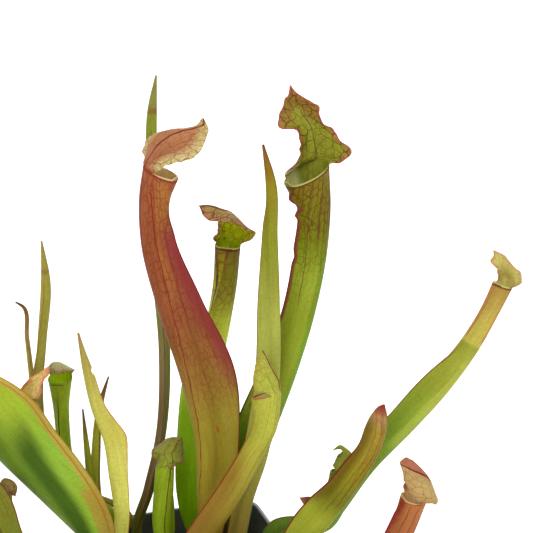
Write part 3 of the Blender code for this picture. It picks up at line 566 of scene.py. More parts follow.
def join_skins(skin, tube, bore, roof, lining):
    """Faces of the outer and inner skins and between their edges, and both bottoms."""
    roof = np.vstack([tube[-1, HOOD_AT:HOOD_TO], roof])
    lining = np.vstack([bore[-1, HOOD_AT:HOOD_TO], lining])
    for index in (tube, bore, roof, lining):
        skin.quads(index)
    for index in (tube, bore):
        skin.quads(np.stack([index[:, -1], index[:, 0]], axis=1))
    edge, hem = free_edge(tube[-1], roof), free_edge(bore[-1], lining)
    skin.quads(np.stack([np.append(edge, edge[0]), np.append(hem, hem[0])], axis=1))
    skin.cap(tube[0])
    skin.cap(bore[0])


def make_pitcher(name, leaf):
    """A winged tube, hollow from its mouth down, with a hood that grows from the mouth's back edge."""
    angles = ring_angles(leaf)
    axis = Axis(leaf, TUBE_ROWS)
    drop = leaf["drop"] * MM
    outer, around, margin = section(axis, angles, DEPTH_OF_TUBE)
    outer = drop_front(outer, angles, axis, drop)
    inner, inner_around, _ = section(axis, angles, DEPTH_OF_TUBE, SKIN)
    start = int(TUBE_ROWS * BORE_FROM)
    inner = drop_front(inner, angles, axis, drop)[start:]
    at = axis.at[:, None]
    distance = at * axis.length
    shares = shares_round(angles)
    skin = Skin()
    tube = skin.add(outer, grain_of(around, distance), along=at, margin=margin, round=shares,
                    fin=eased(axis.wing / FIN_FADES_AT)[:, None])
    bore = skin.add(inner, grain_of(inner_around[start:], distance[start:]), along=at[start:], inside=1.0,
                    margin=BORE_MARGIN, round=shares)
    top, hood_around, hood_margin, place, further = hood_grid(axis, outer[-1, HOOD_AT:HOOD_TO], leaf)
    under = lining_of(outer[-2:, HOOD_AT:HOOD_TO], top, hood_margin)
    grain = grain_of(hood_around, axis.length + further)
    shares = shares[HOOD_AT:HOOD_TO]
    roof = skin.add(top, grain, along=1.0, hood=place, margin=hood_margin, round=shares)
    lining = skin.add(under, grain, along=1.0, hood=place, margin=hood_margin, round=shares, inside=1.0)
    join_skins(skin, tube, bore, roof, lining)
    rim = (front_of_mouth(outer[-1]) + front_of_mouth(inner[-1])) / 2
    add_lip(skin, rim, min(1, axis.girth[-1] / FULL_LIP_GIRTH), axis.length)
    return skin.build(name + "_leaf")


def make_blade(name, leaf):
    """A solid leaf with a rib and a flat wing, closed to a point."""
    angles = np.linspace(WING_ROOT_ANGLE, 360 - WING_ROOT_ANGLE, BLADE_COLUMNS)
    axis = Axis(leaf, TUBE_ROWS)
    points, around, margin = section(axis, angles, leaf["depth"])
    at = axis.at[:, None]
    skin = Skin()
    tube = skin.add(points, grain_of(around, at * axis.length), along=at, margin=margin,
                    round=shares_round(angles), fin=eased(axis.wing / FIN_FADES_AT)[:, None])
    skin.quads(tube)
    skin.quads(np.stack([tube[:, -1], tube[:, 0]], axis=1))
    skin.cap(tube[0])
    skin.cap(tube[-1])
    return skin.build(name + "_leaf")


class Graph:
    """A material's node graph, with one short call for each kind of node."""

    def __init__(self, name):
        self.material = bpy.data.materials.new(name)
        self.material.use_nodes = True
        self.tree = self.material.node_tree
        self.tree.nodes.clear()

    def node(self, kind, inputs=(), **settings):
        """A new node with its inputs linked or set, and its settings."""
        made = self.tree.nodes.new("ShaderNode" + kind)
        for key, value in settings.items():
            setattr(made, key, value)
        for socket, value in dict(inputs).items():
            self.put(made.inputs[socket], value)
        return made

    def put(self, socket, value):
        """Links an output to a socket, or sets the socket's own value."""
        if isinstance(value, bpy.types.NodeSocket):
            self.tree.links.new(value, socket)
        elif isinstance(value, tuple) and len(value) == 3 and socket.type == "RGBA":
            socket.default_value = (*value, 1)
        else:
            socket.default_value = value

    def attribute(self, name, output="Fac"):
        """One of the values that a leaf's mesh holds at every point."""
        return self.node("Attribute", attribute_name=name).outputs[output]

    def math(self, operation, *terms):
        """The result of a sum on numbers or outputs."""
        return self.node("Math", dict(enumerate(terms)), operation=operation).outputs[0]

    def step(self, value, low, high, start=0.0, end=1.0):
        """A smooth change from start to end as the value goes from low to high."""
        inputs = {"Value": value, "From Min": low, "From Max": high, "To Min": start, "To Max": end}
        return self.node("MapRange", inputs, interpolation_type="SMOOTHSTEP").outputs[0]

    def window(self, value, begin, full, still, end):
        """1 where the value is between full and still, fading to 0 at begin and at end."""
        return self.math("MULTIPLY", self.step(value, begin, full), self.step(value, still, end, 1.0, 0.0))

    def mix(self, amount, a, b, blend="MIX"):
        """Colour a with an amount of colour b over it."""
        made = self.node("Mix", data_type="RGBA", blend_type=blend)
        self.put(made.inputs[0], amount)
        self.put(made.inputs[6], a)
        self.put(made.inputs[7], b)
        return made.outputs[2]

    def ramp(self, value, stops):
        """The colour between stops, each a value from 0 to 1 and its colour."""
        made = self.node("ValToRGB", {"Fac": value})
        elements = made.color_ramp.elements
        while len(elements) < len(stops):
            elements.new(0.5)
        for element, (place, colour) in zip(elements, stops):
            element.position = place
            element.color = (*colour, 1)
        return made.outputs["Color"]

    def noise(self, vector, scale, detail=3.0, output="Fac"):
        """Soft noise from about 0.3 to 0.7."""
        return self.node("TexNoise", {"Vector": vector, "Scale": scale, "Detail": detail}).outputs[output]

    def scaled(self, vector, factors):
        """The vector with its three parts multiplied."""
        return self.node("VectorMath", {0: vector, 1: factors}, operation="MULTIPLY").outputs[0]

    def finish(self, shader):
        """The material, with the shader as its surface."""
        output = self.node("OutputMaterial")
        self.tree.links.new(shader, output.inputs["Surface"])
        return self.material


def above(begin, full):
    """A window on a value: open from full up, and shut below begin."""
    return begin, full, 1000, 1001


def below(still, end):
    """A window on a value: open up to still, and shut from end up."""
    return -1001, -1000, still, end


# What each leaf looks like, and PLAIN where it says nothing. tube: colours from the foot (0) to the mouth
# (1). hood: its root and its tip. inner: inside the tube and under the hood. lip: the bead along the mouth's
# front. blush: the hood's margin. vein: the veins' colour. net: how strongly veins show lengthwise on the
# tube, across it and on the hood, net_from: where up the tube they begin, and throat: how much of them shows
# inside it. edge: the colour of the line along the wing. line: its width in mm and its strength.
# ribs: single veins, each a colour, a strength, a width in mm and the points that it runs through, as (place,
# side), where place goes from 0 at the foot to 1 at the mouth and 2 at the hood's tip.
# flush: colours laid over part of the leaf under its veins, and marks: the same over them. Each is a colour,
# a strength and windows on the leaf's values: where it begins, is full, is still full and ends. The values
# are along (0 at the foot, 1 at the mouth), hood (0 at the mouth, 1 at its tip), inside, round (0 at the
# back, 1 and -1 at the wing) and, in mm, margin (from the edge), side (round from the back) and rise (up from
# the foot).
PLAIN = {
    "hood": ((0.30, 0.30, 0.04), (0.34, 0.26, 0.06)), "inner": (0.40, 0.46, 0.03), "lip": (0.46, 0.46, 0.12),
    "blush": (0.42, 0.16, 0.09), "vein": (0.18, 0.05, 0.015), "net": (0.4, 0.4, 0.8), "net_from": 0.5,
    "throat": 0.4, "edge": (0.22, 0.04, 0.02), "line": (0.4, 0.8), "ribs": [], "flush": [], "marks": [],
}
DARK_RED = (0.20, 0.012, 0.01)
BROWN = (0.12, 0.04, 0.01)
OUTSIDE = below(0.1, 0.2)
INSIDE = above(0.8, 0.9)
ON_TUBE = below(0.01, 0.02)
UNDER_LIP = {"along": (0.991, 0.996, 1.0, 1.01), "inside": OUTSIDE, "hood": ON_TUBE}
LOOKS = {
    "pitcher_red": {
        "tube": [(0, (0.24, 0.19, 0.015)), (0.25, (0.36, 0.28, 0.024)), (0.42, (0.36, 0.30, 0.03)),
                 (0.52, (0.32, 0.19, 0.03)), (0.66, (0.29, 0.10, 0.03)), (0.85, (0.33, 0.095, 0.03)),
                 (1, (0.36, 0.12, 0.04))],
        # inner: nearly white, painted light in the throat that the hood shades.
        "hood": ((0.42, 0.17, 0.08), (0.52, 0.28, 0.14)), "inner": (0.90, 0.80, 0.44),
        "lip": (0.66, 0.58, 0.26), "blush": (0.60, 0.50, 0.24), "vein": (0.24, 0.035, 0.015),
        "net": (0.8, 0.75, 0.7), "net_from": 0.3, "edge": (0.19, 0.012, 0.01), "line": (0.4, 0.9),
        "ribs": [
            (DARK_RED, 0.85, 0.25, [(0.24, -4.9), (0.48, -9.4), (0.685, -12.6), (0.82, -13),
                (0.98, -10.4)]),
            (DARK_RED, 0.95, 0.5, [(0.78, -5), (0.94, -5), (1.03, -4.6), (1.18, -1.2), (1.3, -0.5),
                (1.45, -0.2), (1.53, -1.1), (1.6, -1.4), (2, -0.8)]),
            (DARK_RED, 0.5, 0.2, [(0.9, -14.5), (1, -13), (1.1, -9), (1.3, -6), (1.6, -8)]),
            (DARK_RED, 0.5, 0.2, [(0.6, -18), (0.8, -18), (0.95, -15)]),
        ],
        "flush": [
            ((0.44, 0.19, 0.035), 0.8, {"along": (0.7, 0.84, 0.97, 1.0), "side": (-20, -18, -14, -12)}),
            ((0.27, 0.03, 0.04), 0.85, {"along": (0.46, 0.58, 0.84, 0.93), "margin": below(2, 10)}),
            ((0.62, 0.54, 0.25), 0.9, {"hood": above(0.03, 0.12), "margin": below(2.5, 8)}),
        ],
        "marks": [
            ((0.40, 0.03, 0.02), 0.7, {"rise": (84, 86.5, 87, 89.5), "side": (-18, -17.2, -17, -16.2)}),
            ((0.24, 0.03, 0.02), 0.8, UNDER_LIP),
        ],
    },
    "pitcher_tall": {
        # The tube's very dark foot is partly its own colour and partly painted shade low in the crown.
        "tube": [(0, (0.03, 0.08, 0.004)), (0.3, (0.10, 0.22, 0.005)), (0.5, (0.22, 0.34, 0.012)),
                 (0.64, (0.20, 0.33, 0.008)), (0.8, (0.21, 0.28, 0.006)), (0.92, (0.20, 0.18, 0.004)),
                 (1, (0.22, 0.17, 0.006))],
        "hood": ((0.28, 0.24, 0.03), (0.40, 0.20, 0.07)), "inner": (0.37, 0.41, 0.04),
        "lip": (0.44, 0.46, 0.12), "blush": (0.44, 0.12, 0.09), "vein": (0.12, 0.03, 0.006),
        "net": (0.85, 0.85, 1.0), "net_from": 0.6, "line": (0.5, 0.9),
        "ribs": [
            (BROWN, 0.7, 0.25, [(1.0, 0.2), (1.4, 0.6), (1.8, 0.2)]),
            (BROWN, 0.6, 0.3, [(0.68, 16), (0.99, 17)]),
            (BROWN, 0.8, 0.3, [(0.84, 11.5), (0.99, 12)]),
            (BROWN, 0.7, 0.25, [(0.8, 7), (0.99, 7.5)]),
            (BROWN, 0.4, 0.25, [(0.4, 4), (0.99, 4.5)]),
        ],
        "flush": [
            ((0.34, 0.20, 0.04), 0.85, {"inside": INSIDE, "hood": above(0.5, 0.7), "margin": below(6, 11)}),
            ((0.40, 0.24, 0.06), 0.7, {"inside": INSIDE, "hood": (0.1, 0.2, 0.4, 0.5),
                "margin": below(2, 5)}),
            ((0.14, 0.07, 0.012), 0.8, {"along": above(0.55, 0.7), "side": (-4, 0, 2.5, 4.5),
                "inside": OUTSIDE}),
            ((0.17, 0.32, 0.003), 0.6, {"along": (0.35, 0.45, 0.76, 0.86), "side": (1, 4, 7, 9)}),
            ((0.36, 0.42, 0.035), 0.7, {"along": (0.35, 0.45, 0.74, 0.86), "side": (8, 11, 24, 26)}),
            # Pale cream-green on the inner wall beside the mouth: painted light where the hood's root shades
            # it.
            ((0.95, 0.98, 0.50), 0.95, {"along": above(0.9, 0.93), "round": (-1.1, -1, -0.62, -0.48),
                "inside": INSIDE, "hood": below(0.1, 0.2)}),
        ],
        "marks": [
            ((0.24, 0.05, 0.03), 0.85, {"along": (0.6, 0.66, 0.97, 0.99), "margin": below(0.8, 1.4),
                "hood": ON_TUBE, "inside": OUTSIDE}),
            ((0.46, 0.10, 0.10), 0.6, {"hood": above(0.2, 0.4), "margin": below(0.5, 1.1)}),
            ((0.14, 0.03, 0.01), 0.7, UNDER_LIP),
        ],
    },
    "pitcher_back": {
        # The yellow-green at 0.74 to 0.84 up the tube is partly its own colour and partly painted light, made
        # far paler where the red pitcher shades it.
        "tube": [(0, (0.12, 0.22, 0.002)), (0.2, (0.22, 0.42, 0.003)), (0.35, (0.27, 0.48, 0.006)),
                 (0.5, (0.30, 0.50, 0.02)), (0.74, (0.78, 0.88, 0.10)), (0.84, (0.66, 0.70, 0.06)),
                 (0.92, (0.38, 0.36, 0.015)), (1, (0.26, 0.18, 0.015))],
        # inner: far brighter than the leaf's own green, painted light in the shaded throat.
        "hood": ((0.48, 0.36, 0.13), (0.46, 0.28, 0.09)), "inner": (0.54, 0.70, 0.01),
        "lip": (0.44, 0.42, 0.10), "blush": (0.50, 0.22, 0.15), "vein": (0.16, 0.035, 0.012),
        "net": (0.8, 1.0, 1.0), "net_from": 0.7, "edge": (0.10, 0.03, 0.01), "line": (0.3, 0.35),
        "ribs": [
            (BROWN, 0.95, 0.6, [(1.4, 0.6), (2, 0.4)]),
            (BROWN, 0.9, 0.45, [(0.8, -15.6), (0.9, -15.2), (0.958, -14.3), (0.995, -13.6)]),
            (BROWN, 0.8, 0.35, [(0.7, 0.5), (0.99, 0.5)]),
            (BROWN, 0.6, 0.25, [(0.75, 8), (0.99, 7)]),
        ],
        "flush": [
            ((0.50, 0.20, 0.15), 0.85, {"hood": (0.01, 0.06, 0.35, 0.5), "inside": OUTSIDE}),
            # Darker on one side of the tube below the mouth: painted shade.
            ((0.12, 0.10, 0.006), 0.6, {"along": above(0.76, 0.88), "side": above(3, 8), "inside": OUTSIDE,
                "hood": ON_TUBE}),
        ],
        "marks": [((0.08, 0.02, 0.008), 0.9, UNDER_LIP)],
    },
    "pitcher_front": {
        "tube": [(0, (0.17, 0.09, 0.008)), (0.42, (0.22, 0.14, 0.011)), (0.6, (0.33, 0.27, 0.03)),
                 (0.75, (0.43, 0.41, 0.05)), (0.92, (0.46, 0.49, 0.065)), (1, (0.46, 0.48, 0.065))],
        # inner: pale cream, painted light in the shaded slit of the mouth.
        "hood": ((0.40, 0.44, 0.06), (0.41, 0.45, 0.065)), "inner": (0.95, 0.90, 0.40),
        "lip": (0.48, 0.16, 0.05), "blush": (0.40, 0.36, 0.05), "vein": (0.28, 0.14, 0.02),
        "net": (0.35, 0.3, 0.6), "net_from": 0.6, "edge": (0.28, 0.03, 0.012), "line": (0.45, 0.95),
        "ribs": [
            (DARK_RED, 0.95, 0.5, [(0.8, 1.6), (1, 1.4), (1.5, 0.8), (2, 0.4)]),
            (BROWN, 0.4, 0.2, [(0.5, 6), (1.5, 5)]),
            (BROWN, 0.3, 0.2, [(0.45, 10), (0.98, 9)]),
        ],
        "flush": [((0.31, 0.16, 0.025), 0.6, {"along": (0.25, 0.35, 0.62, 0.8), "margin": below(3, 8)})],
    },
    "pitcher_long_right": {
        "tube": [(0, (0.15, 0.28, 0.02)), (0.4, (0.18, 0.30, 0.03)), (0.55, (0.23, 0.36, 0.03)),
                 (0.72, (0.35, 0.42, 0.04)), (0.835, (0.35, 0.37, 0.04)), (0.845, (0.58, 0.54, 0.09)),
                 (0.93, (0.60, 0.50, 0.11)), (0.97, (0.50, 0.36, 0.08)), (1, (0.40, 0.26, 0.05))],
        "hood": ((0.52, 0.30, 0.13), (0.50, 0.16, 0.12)), "inner": (0.70, 0.70, 0.22),
        "lip": (0.62, 0.60, 0.18), "blush": (0.60, 0.44, 0.20), "vein": (0.36, 0.16, 0.05),
        "net": (0.25, 0.25, 0.35), "edge": (0.24, 0.07, 0.02), "line": (0.4, 0.9),
        "ribs": [(BROWN, 0.6, 0.3, [(0.4, 1), (0.7, 1.5), (0.8, 2.5), (0.99, 3)])],
        "flush": [
            ((0.50, 0.24, 0.06), 0.85, {"along": above(0.84, 0.86), "side": (-3, 0, 5.5, 8),
                "inside": OUTSIDE}),
            ((0.50, 0.24, 0.06), 0.85, {"along": above(0.84, 0.86), "side": (-17, -15, -9.5, -7),
                "inside": OUTSIDE}),
            ((0.56, 0.60, 0.10), 0.4, {"along": (0.5, 0.55, 0.78, 0.84), "side": (2.5, 4, 8, 10)}),
        ],
        "marks": [((0.16, 0.05, 0.02), 0.85, UNDER_LIP)],
    },
    "pitcher_hook": {
        "tube": [(0, (0.10, 0.15, 0.005)), (0.4, (0.16, 0.24, 0.01)), (1, (0.20, 0.28, 0.015))],
        "hood": ((0.24, 0.34, 0.015), (0.32, 0.32, 0.05)), "net": (0.3, 0.3, 0.3),
        "blush": (0.26, 0.30, 0.03), "lip": (0.24, 0.30, 0.03),
        "marks": [((0.05, 0.04, 0.01), 0.9, UNDER_LIP)],
    },
    "pitcher_bud_right": {
        "tube": [(0, (0.18, 0.14, 0.02)), (1, (0.24, 0.11, 0.03))],
        "hood": ((0.26, 0.12, 0.04), (0.20, 0.05, 0.03)),
    },
    "pitcher_rust_right": {
        "tube": [(0, (0.24, 0.20, 0.02)), (0.5, (0.34, 0.17, 0.03)), (0.85, (0.38, 0.13, 0.04)),
                 (1, (0.48, 0.19, 0.06))],
        # inner: nearly white, painted light in the throat that the hood shades.
        "hood": ((0.50, 0.37, 0.14), (0.51, 0.39, 0.16)), "inner": (0.98, 0.85, 0.45),
        "lip": (0.60, 0.46, 0.19), "blush": (0.48, 0.33, 0.13), "vein": (0.34, 0.11, 0.04),
        "net": (0.8, 0.7, 0.7), "edge": (0.24, 0.015, 0.02), "line": (0.9, 0.9),
        "ribs": [
            (DARK_RED, 0.95, 0.6, [(1.12, 1), (1.5, 0.2), (2, 0)]),
            (DARK_RED, 0.6, 0.25, [(0.5, 9), (0.98, 8)]),
            (DARK_RED, 0.6, 0.25, [(0.5, 12.5), (0.98, 12)]),
        ],
        "flush": [
            ((0.48, 0.15, 0.11), 0.85, {"hood": above(0.01, 0.1), "side": below(-1, 1)}),
            ((0.28, 0.03, 0.025), 0.85, {"along": above(0.6, 0.7), "side": (-14, -9, 0, 3.5),
                "hood": ON_TUBE, "inside": OUTSIDE}),
            ((0.26, 0.03, 0.02), 0.85, {"along": above(0.5, 0.6), "margin": below(0.8, 3), "hood": ON_TUBE,
                "inside": OUTSIDE}),
        ],
        "marks": [((0.30, 0.06, 0.03), 0.6, UNDER_LIP)],
    },
    "pitcher_broad_left": {
        "tube": [(0, (0.20, 0.34, 0.02)), (0.35, (0.36, 0.57, 0.05)), (0.6, (0.30, 0.50, 0.045)),
                 (0.8, (0.42, 0.54, 0.035)), (1, (0.36, 0.44, 0.05))],
        "hood": ((0.28, 0.32, 0.05), (0.40, 0.32, 0.10)), "net": (0.12, 0.1, 0.6),
        "edge": (0.42, 0.16, 0.03), "line": (0.4, 0.7),
        "flush": [
            ((0.14, 0.26, 0.02), 0.8, {"margin": above(15, 24), "along": above(0.1, 0.2)}),
            # A dark green band along the tube: painted shadow of a fold in the leaf.
            ((0.035, 0.09, 0.003), 0.9, {"margin": (8, 13, 16, 23), "along": (0.22, 0.3, 0.62, 0.78),
                "round": (-1.1, -1, 0, 0.1)}),
            ((0.52, 0.42, 0.07), 0.95, {"margin": below(4.2, 5), "along": above(0.4, 0.46)}),
            ((0.50, 0.37, 0.06), 0.95, {"margin": below(7.2, 8), "along": (0.1, 0.15, 0.4, 0.46)}),
        ],
        "marks": [((0.45, 0.14, 0.03), 0.7, {"margin": (2.3, 2.7, 3.2, 3.6), "along": above(0.2, 0.3)})],
    },
    "pitcher_low_left": {
        "tube": [(0, (0.14, 0.17, 0.01)), (0.6, (0.18, 0.22, 0.015)), (1, (0.24, 0.26, 0.03))],
        "hood": ((0.22, 0.24, 0.03), (0.28, 0.22, 0.05)), "net": (0.4, 0.4, 0.6),
        "ribs": [(BROWN, 0.8, 0.35, [(0.4, -12), (0.99, -12)])],
    },
    "pitcher_bud_left": {
        "tube": [(0, (0.20, 0.22, 0.02)), (1, (0.33, 0.28, 0.06))],
        "hood": ((0.38, 0.32, 0.09), (0.30, 0.22, 0.07)), "blush": (0.24, 0.14, 0.05),
        "edge": (0.14, 0.05, 0.02),
    },
    "pitcher_pink": {
        "tube": [(0, (0.18, 0.22, 0.02)), (0.5, (0.24, 0.24, 0.03)), (1, (0.34, 0.26, 0.06))],
        # inner: far paler than the leaf, painted light on the open inside of the mouth.
        "hood": ((0.42, 0.28, 0.10), (0.52, 0.26, 0.12)), "inner": (0.95, 0.80, 0.27),
        "lip": (0.56, 0.50, 0.16), "blush": (0.80, 0.30, 0.19), "vein": (0.60, 0.22, 0.09),
        "net": (0.4, 0.5, 0.7),
    },
    "pitcher_green_left": {
        "tube": [(0, (0.19, 0.29, 0.01)), (0.6, (0.30, 0.45, 0.016)), (1, (0.36, 0.50, 0.025))],
        "hood": ((0.46, 0.48, 0.20), (0.48, 0.46, 0.22)), "inner": (0.75, 0.95, 0.03),
        "lip": (0.30, 0.40, 0.04), "edge": (0.06, 0.03, 0.01), "line": (0.35, 0.85), "net": (0.3, 0.3, 0.5),
        "blush": (0.30, 0.20, 0.09),
        "marks": [((0.06, 0.05, 0.01), 0.7, UNDER_LIP)],
    },
    "pitcher_low_green": {
        "tube": [(0, (0.18, 0.30, 0.01)), (0.6, (0.26, 0.40, 0.01)), (1, (0.30, 0.42, 0.015))],
        "hood": ((0.28, 0.34, 0.03), (0.32, 0.31, 0.06)), "net": (0.3, 0.2, 0.8),
        "vein": (0.12, 0.08, 0.02), "edge": (0.10, 0.05, 0.01),
        "ribs": [
            (BROWN, 0.85, 0.35, [(0.5, -5.5), (1, -4.5), (2, -1)]),
            (BROWN, 0.5, 0.25, [(1, 1), (2, 1)]),
        ],
    },
    "pitcher_closed": {
        # The dark band just above the middle of the tube (0.58) is painted shade.
        "tube": [(0, (0.28, 0.34, 0.025)), (0.48, (0.36, 0.39, 0.03)), (0.58, (0.20, 0.21, 0.01)),
                 (0.75, (0.33, 0.29, 0.015)), (0.9, (0.38, 0.28, 0.03)), (0.955, (0.44, 0.26, 0.10)),
                 (0.975, (0.34, 0.09, 0.05)), (1, (0.26, 0.02, 0.03))],
        "vein": (0.28, 0.07, 0.02), "net": (0.65, 0.4, 0.3), "net_from": 0.45, "edge": (0.20, 0.015, 0.015),
        "line": (0.7, 0.95),
        "ribs": [
            (DARK_RED, 0.8, 0.5, [(0.6, 1.6), (0.97, 1.2)]),
            (BROWN, 0.6, 0.25, [(0.55, 7.5), (0.95, 5)]),
            (BROWN, 0.5, 0.25, [(0.5, 10.5), (0.9, 8)]),
            (BROWN, 0.5, 0.25, [(0.55, 4.6), (0.93, 3.2)]),
        ],
        "flush": [((0.15, 0.10, 0.01), 0.65, {"along": (0.5, 0.56, 0.9, 0.97), "margin": below(2, 6)})],
    },
    "blade_tall": {
        "tube": [(0, (0.10, 0.12, 0.008)), (0.22, (0.15, 0.16, 0.015)), (0.34, (0.24, 0.23, 0.07)),
                 (0.6, (0.25, 0.29, 0.07)), (0.82, (0.26, 0.38, 0.03)), (0.925, (0.28, 0.34, 0.04)),
                 (0.935, (0.26, 0.16, 0.03)), (0.945, (0.28, 0.28, 0.06)), (1, (0.28, 0.26, 0.07))],
        "net": (0.25, 0.2, 0), "edge": (0.20, 0.05, 0.03), "line": (0.3, 0.75),
        "ribs": [
            (BROWN, 0.6, 0.25, [(0.05, 1), (0.6, 1)]),
            (BROWN, 0.5, 0.2, [(0.05, -1.5), (0.5, -1.5)]),
        ],
        "flush": [
            ((0.24, 0.13, 0.07), 0.7, {"along": (0.1, 0.2, 0.42, 0.6), "round": (-1.1, -1, -0.6, -0.4)}),
        ],
    },
    "blade_centre": {
        "tube": [(0, (0.18, 0.09, 0.02)), (0.2, (0.32, 0.26, 0.04)), (0.4, (0.42, 0.45, 0.09)),
                 (0.62, (0.40, 0.43, 0.075)), (0.8, (0.25, 0.27, 0.018)), (0.92, (0.30, 0.24, 0.015)),
                 (0.97, (0.28, 0.14, 0.02)), (1, (0.18, 0.07, 0.02))],
        "net": (0.1, 0.05, 0), "edge": (0.26, 0.05, 0.02), "line": (0.35, 0.85),
    },
    "blade_left": {
        "tube": [(0, (0.20, 0.17, 0.02)), (0.5, (0.34, 0.31, 0.08)), (0.8, (0.40, 0.38, 0.06)),
                 (0.91, (0.40, 0.38, 0.06)), (0.92, (0.32, 0.20, 0.05)), (0.93, (0.38, 0.34, 0.06)),
                 (1, (0.30, 0.26, 0.05))],
        "net": (0.3, 0.2, 0), "edge": (0.34, 0.12, 0.05), "line": (0.3, 0.6),
    },
    "blade_thin_left": {
        "tube": [(0, (0.24, 0.20, 0.03)), (0.7, (0.40, 0.36, 0.08)), (0.9, (0.38, 0.27, 0.08)),
                 (1, (0.20, 0.08, 0.03))],
        "net": (0.3, 0.2, 0), "line": (0.2, 0.3),
    },
    "blade_yellow": {
        "tube": [(0, (0.78, 0.77, 0.17)), (0.4, (0.74, 0.74, 0.17)), (0.65, (0.62, 0.58, 0.12)),
                 (0.85, (0.52, 0.48, 0.11)), (0.94, (0.44, 0.36, 0.10)), (1, (0.36, 0.22, 0.07))],
        "vein": (0.40, 0.30, 0.05), "net": (0.35, 0.1, 0), "edge": (0.46, 0.12, 0.03), "line": (0.35, 0.75),
    },
    "blade_short": {
        "tube": [(0, (0.24, 0.28, 0.015)), (0.8, (0.30, 0.35, 0.025)), (0.9, (0.24, 0.16, 0.03)),
                 (1, (0.12, 0.06, 0.03))],
        "net": (0.2, 0.1, 0), "edge": (0.20, 0.08, 0.03), "line": (0.25, 0.5),
    },
    "blade_brown_tip": {
        "tube": [(0, (0.36, 0.38, 0.028)), (0.75, (0.43, 0.43, 0.045)), (0.84, (0.36, 0.22, 0.05)),
                 (1, (0.14, 0.06, 0.03))],
        "net": (0.25, 0.15, 0), "edge": (0.16, 0.05, 0.02), "line": (0.3, 0.7),
    },
}
for look in LOOKS.values():
    for key, value in PLAIN.items():
        look.setdefault(key, value)


def leaf_values(g, seed):
    """The leaf's values at a point, two of them a little uneven, and its flat place, plain and warped."""
    grain = g.attribute("grain", "Vector")
    along, hood, inside, share = (g.attribute(name) for name in ("along", "hood", "inside", "round"))
    flat = g.node("SeparateXYZ", {0: grain})
    uneven = g.math("SUBTRACT", g.noise(g.scaled(grain, (0.25, 0.12, 1)), 1.0, 4.0), 0.5)
    values = {
        "along": along, "hood": hood, "inside": inside,
        "round": g.math("MULTIPLY_ADD", uneven, 0.08, share),
        "margin": g.math("MULTIPLY", g.attribute("margin"), 1000.0),
        "side": g.math("MULTIPLY_ADD", uneven, 1.6, flat.outputs["X"]),
        "rise": flat.outputs["Y"],
        "place": g.math("ADD", along, hood),
        "fin": g.attribute("fin"),
    }
    wobble = g.noise(g.scaled(grain, (0.16, 0.07, 1)), 1.0, 3.0, "Color")
    shift = g.node("VectorMath", {0: wobble, 1: (seed, seed * 0.37, 0)}, operation="ADD").outputs[0]
    bends = g.node("VectorMath", {0: grain, 1: g.scaled(shift, (4.5, 4.5, 0))}, operation="ADD").outputs[0]
    ripple = g.scaled(g.noise(g.scaled(grain, (0.6, 0.45, 1)), 1.0, 2.0, "Color"), (1.6, 1.6, 0))
    warped = g.node("VectorMath", {0: bends, 1: ripple}, operation="ADD").outputs[0]
    return values, grain, warped


# Netted veins: their cells, as (across, along) in millimetres, and their width as a share of a cell.
TUBE_NET = ((2.6, 4.6), 0.13)
HOOD_NET = ((4.2, 5.5), 0.1)
FINE_NET = ((2.2, 2.6), 0.16)
HALF_THREAD_GAP = 1.5
# A rib's points are kept in a colour ramp, which holds 0 to 1 for this many millimetres about the back.
RIB_SPAN = 80.0
# Kinds of unevenness in a leaf's colour: the noise's scale across and along the leaf, its detail, the noise
# where it begins and where it is full. Each then has its strength and its tint.
BLOTCHES = ((0.09, 0.03), 4.0, 0.35, 0.7)
STREAKS = ((1.4, 0.03), 2.0, 0.4, 0.7)
SPECKLES = ((0.8, 0.8), 5.0, 0.42, 0.66)
MOTTLING = (
    (BLOTCHES, 0.5, (0.70, 0.60, 0.4)),
    (STREAKS, 0.35, (1.3, 1.3, 1.4)),
    (SPECKLES, 0.25, (0.62, 0.56, 0.45)),
)
# The share of light that goes through a leaf, and the tint that it gets.
LIGHT_THROUGH = 0.3
LIGHT_TINT = (1.2, 1.2, 0.7)


def netting(g, warped, cell, width):
    """A net of veins: cells of the given size in millimetres with lines between them."""
    cells = g.node("TexVoronoi", {"Vector": g.scaled(warped, (1 / cell[0], 1 / cell[1], 1)), "Scale": 1.0},
                   feature="DISTANCE_TO_EDGE", voronoi_dimensions="2D").outputs[0]
    return g.step(cells, 0.0, width, 1.0, 0.0)


def vein_strength(g, values, grain, warped, look):
    """How strongly the netted veins show: long ones and cross ones on the tube, and a net on the hood."""
    long_veins, cross_veins, hood_veins = look["net"]
    threads = g.math("PINGPONG", g.node("SeparateXYZ", {0: warped}).outputs["X"], HALF_THREAD_GAP)
    threads = g.math("MULTIPLY", g.step(threads, 0.05, 0.42, 1.0, 0.0), long_veins)
    cross = g.math("MULTIPLY", netting(g, warped, *TUBE_NET), cross_veins)
    patchy = g.step(g.noise(g.scaled(grain, (0.14, 0.06, 1)), 1.0, 2.0), 0.3, 0.6, 0.3, 1.0)
    on_tube = g.step(values["along"], look["net_from"], min(1.0, look["net_from"] + 0.35))
    on_tube = g.math("MULTIPLY", g.math("MULTIPLY", g.math("MAXIMUM", threads, cross), patchy), on_tube)
    on_tube = g.math("MULTIPLY", on_tube, g.step(values["inside"], 0.1, 0.9, 1.0, look["throat"]))
    large = netting(g, warped, *HOOD_NET)
    fine = g.math("MULTIPLY", netting(g, warped, *FINE_NET), g.math("MULTIPLY", patchy, 0.6))
    near = g.step(values["margin"], 3.0, 11.0, 1.0, 0.55)
    on_hood = g.math("MULTIPLY", g.math("MULTIPLY", g.math("MAXIMUM", large, fine), near), hood_veins)
    on_hood = g.math("MINIMUM", on_hood, 0.95)
    bare = g.step(values["hood"], 0.0, 0.06)
    return g.math("ADD", g.math("MULTIPLY", on_tube, g.math("SUBTRACT", 1.0, bare)),
                  g.math("MULTIPLY", on_hood, bare))


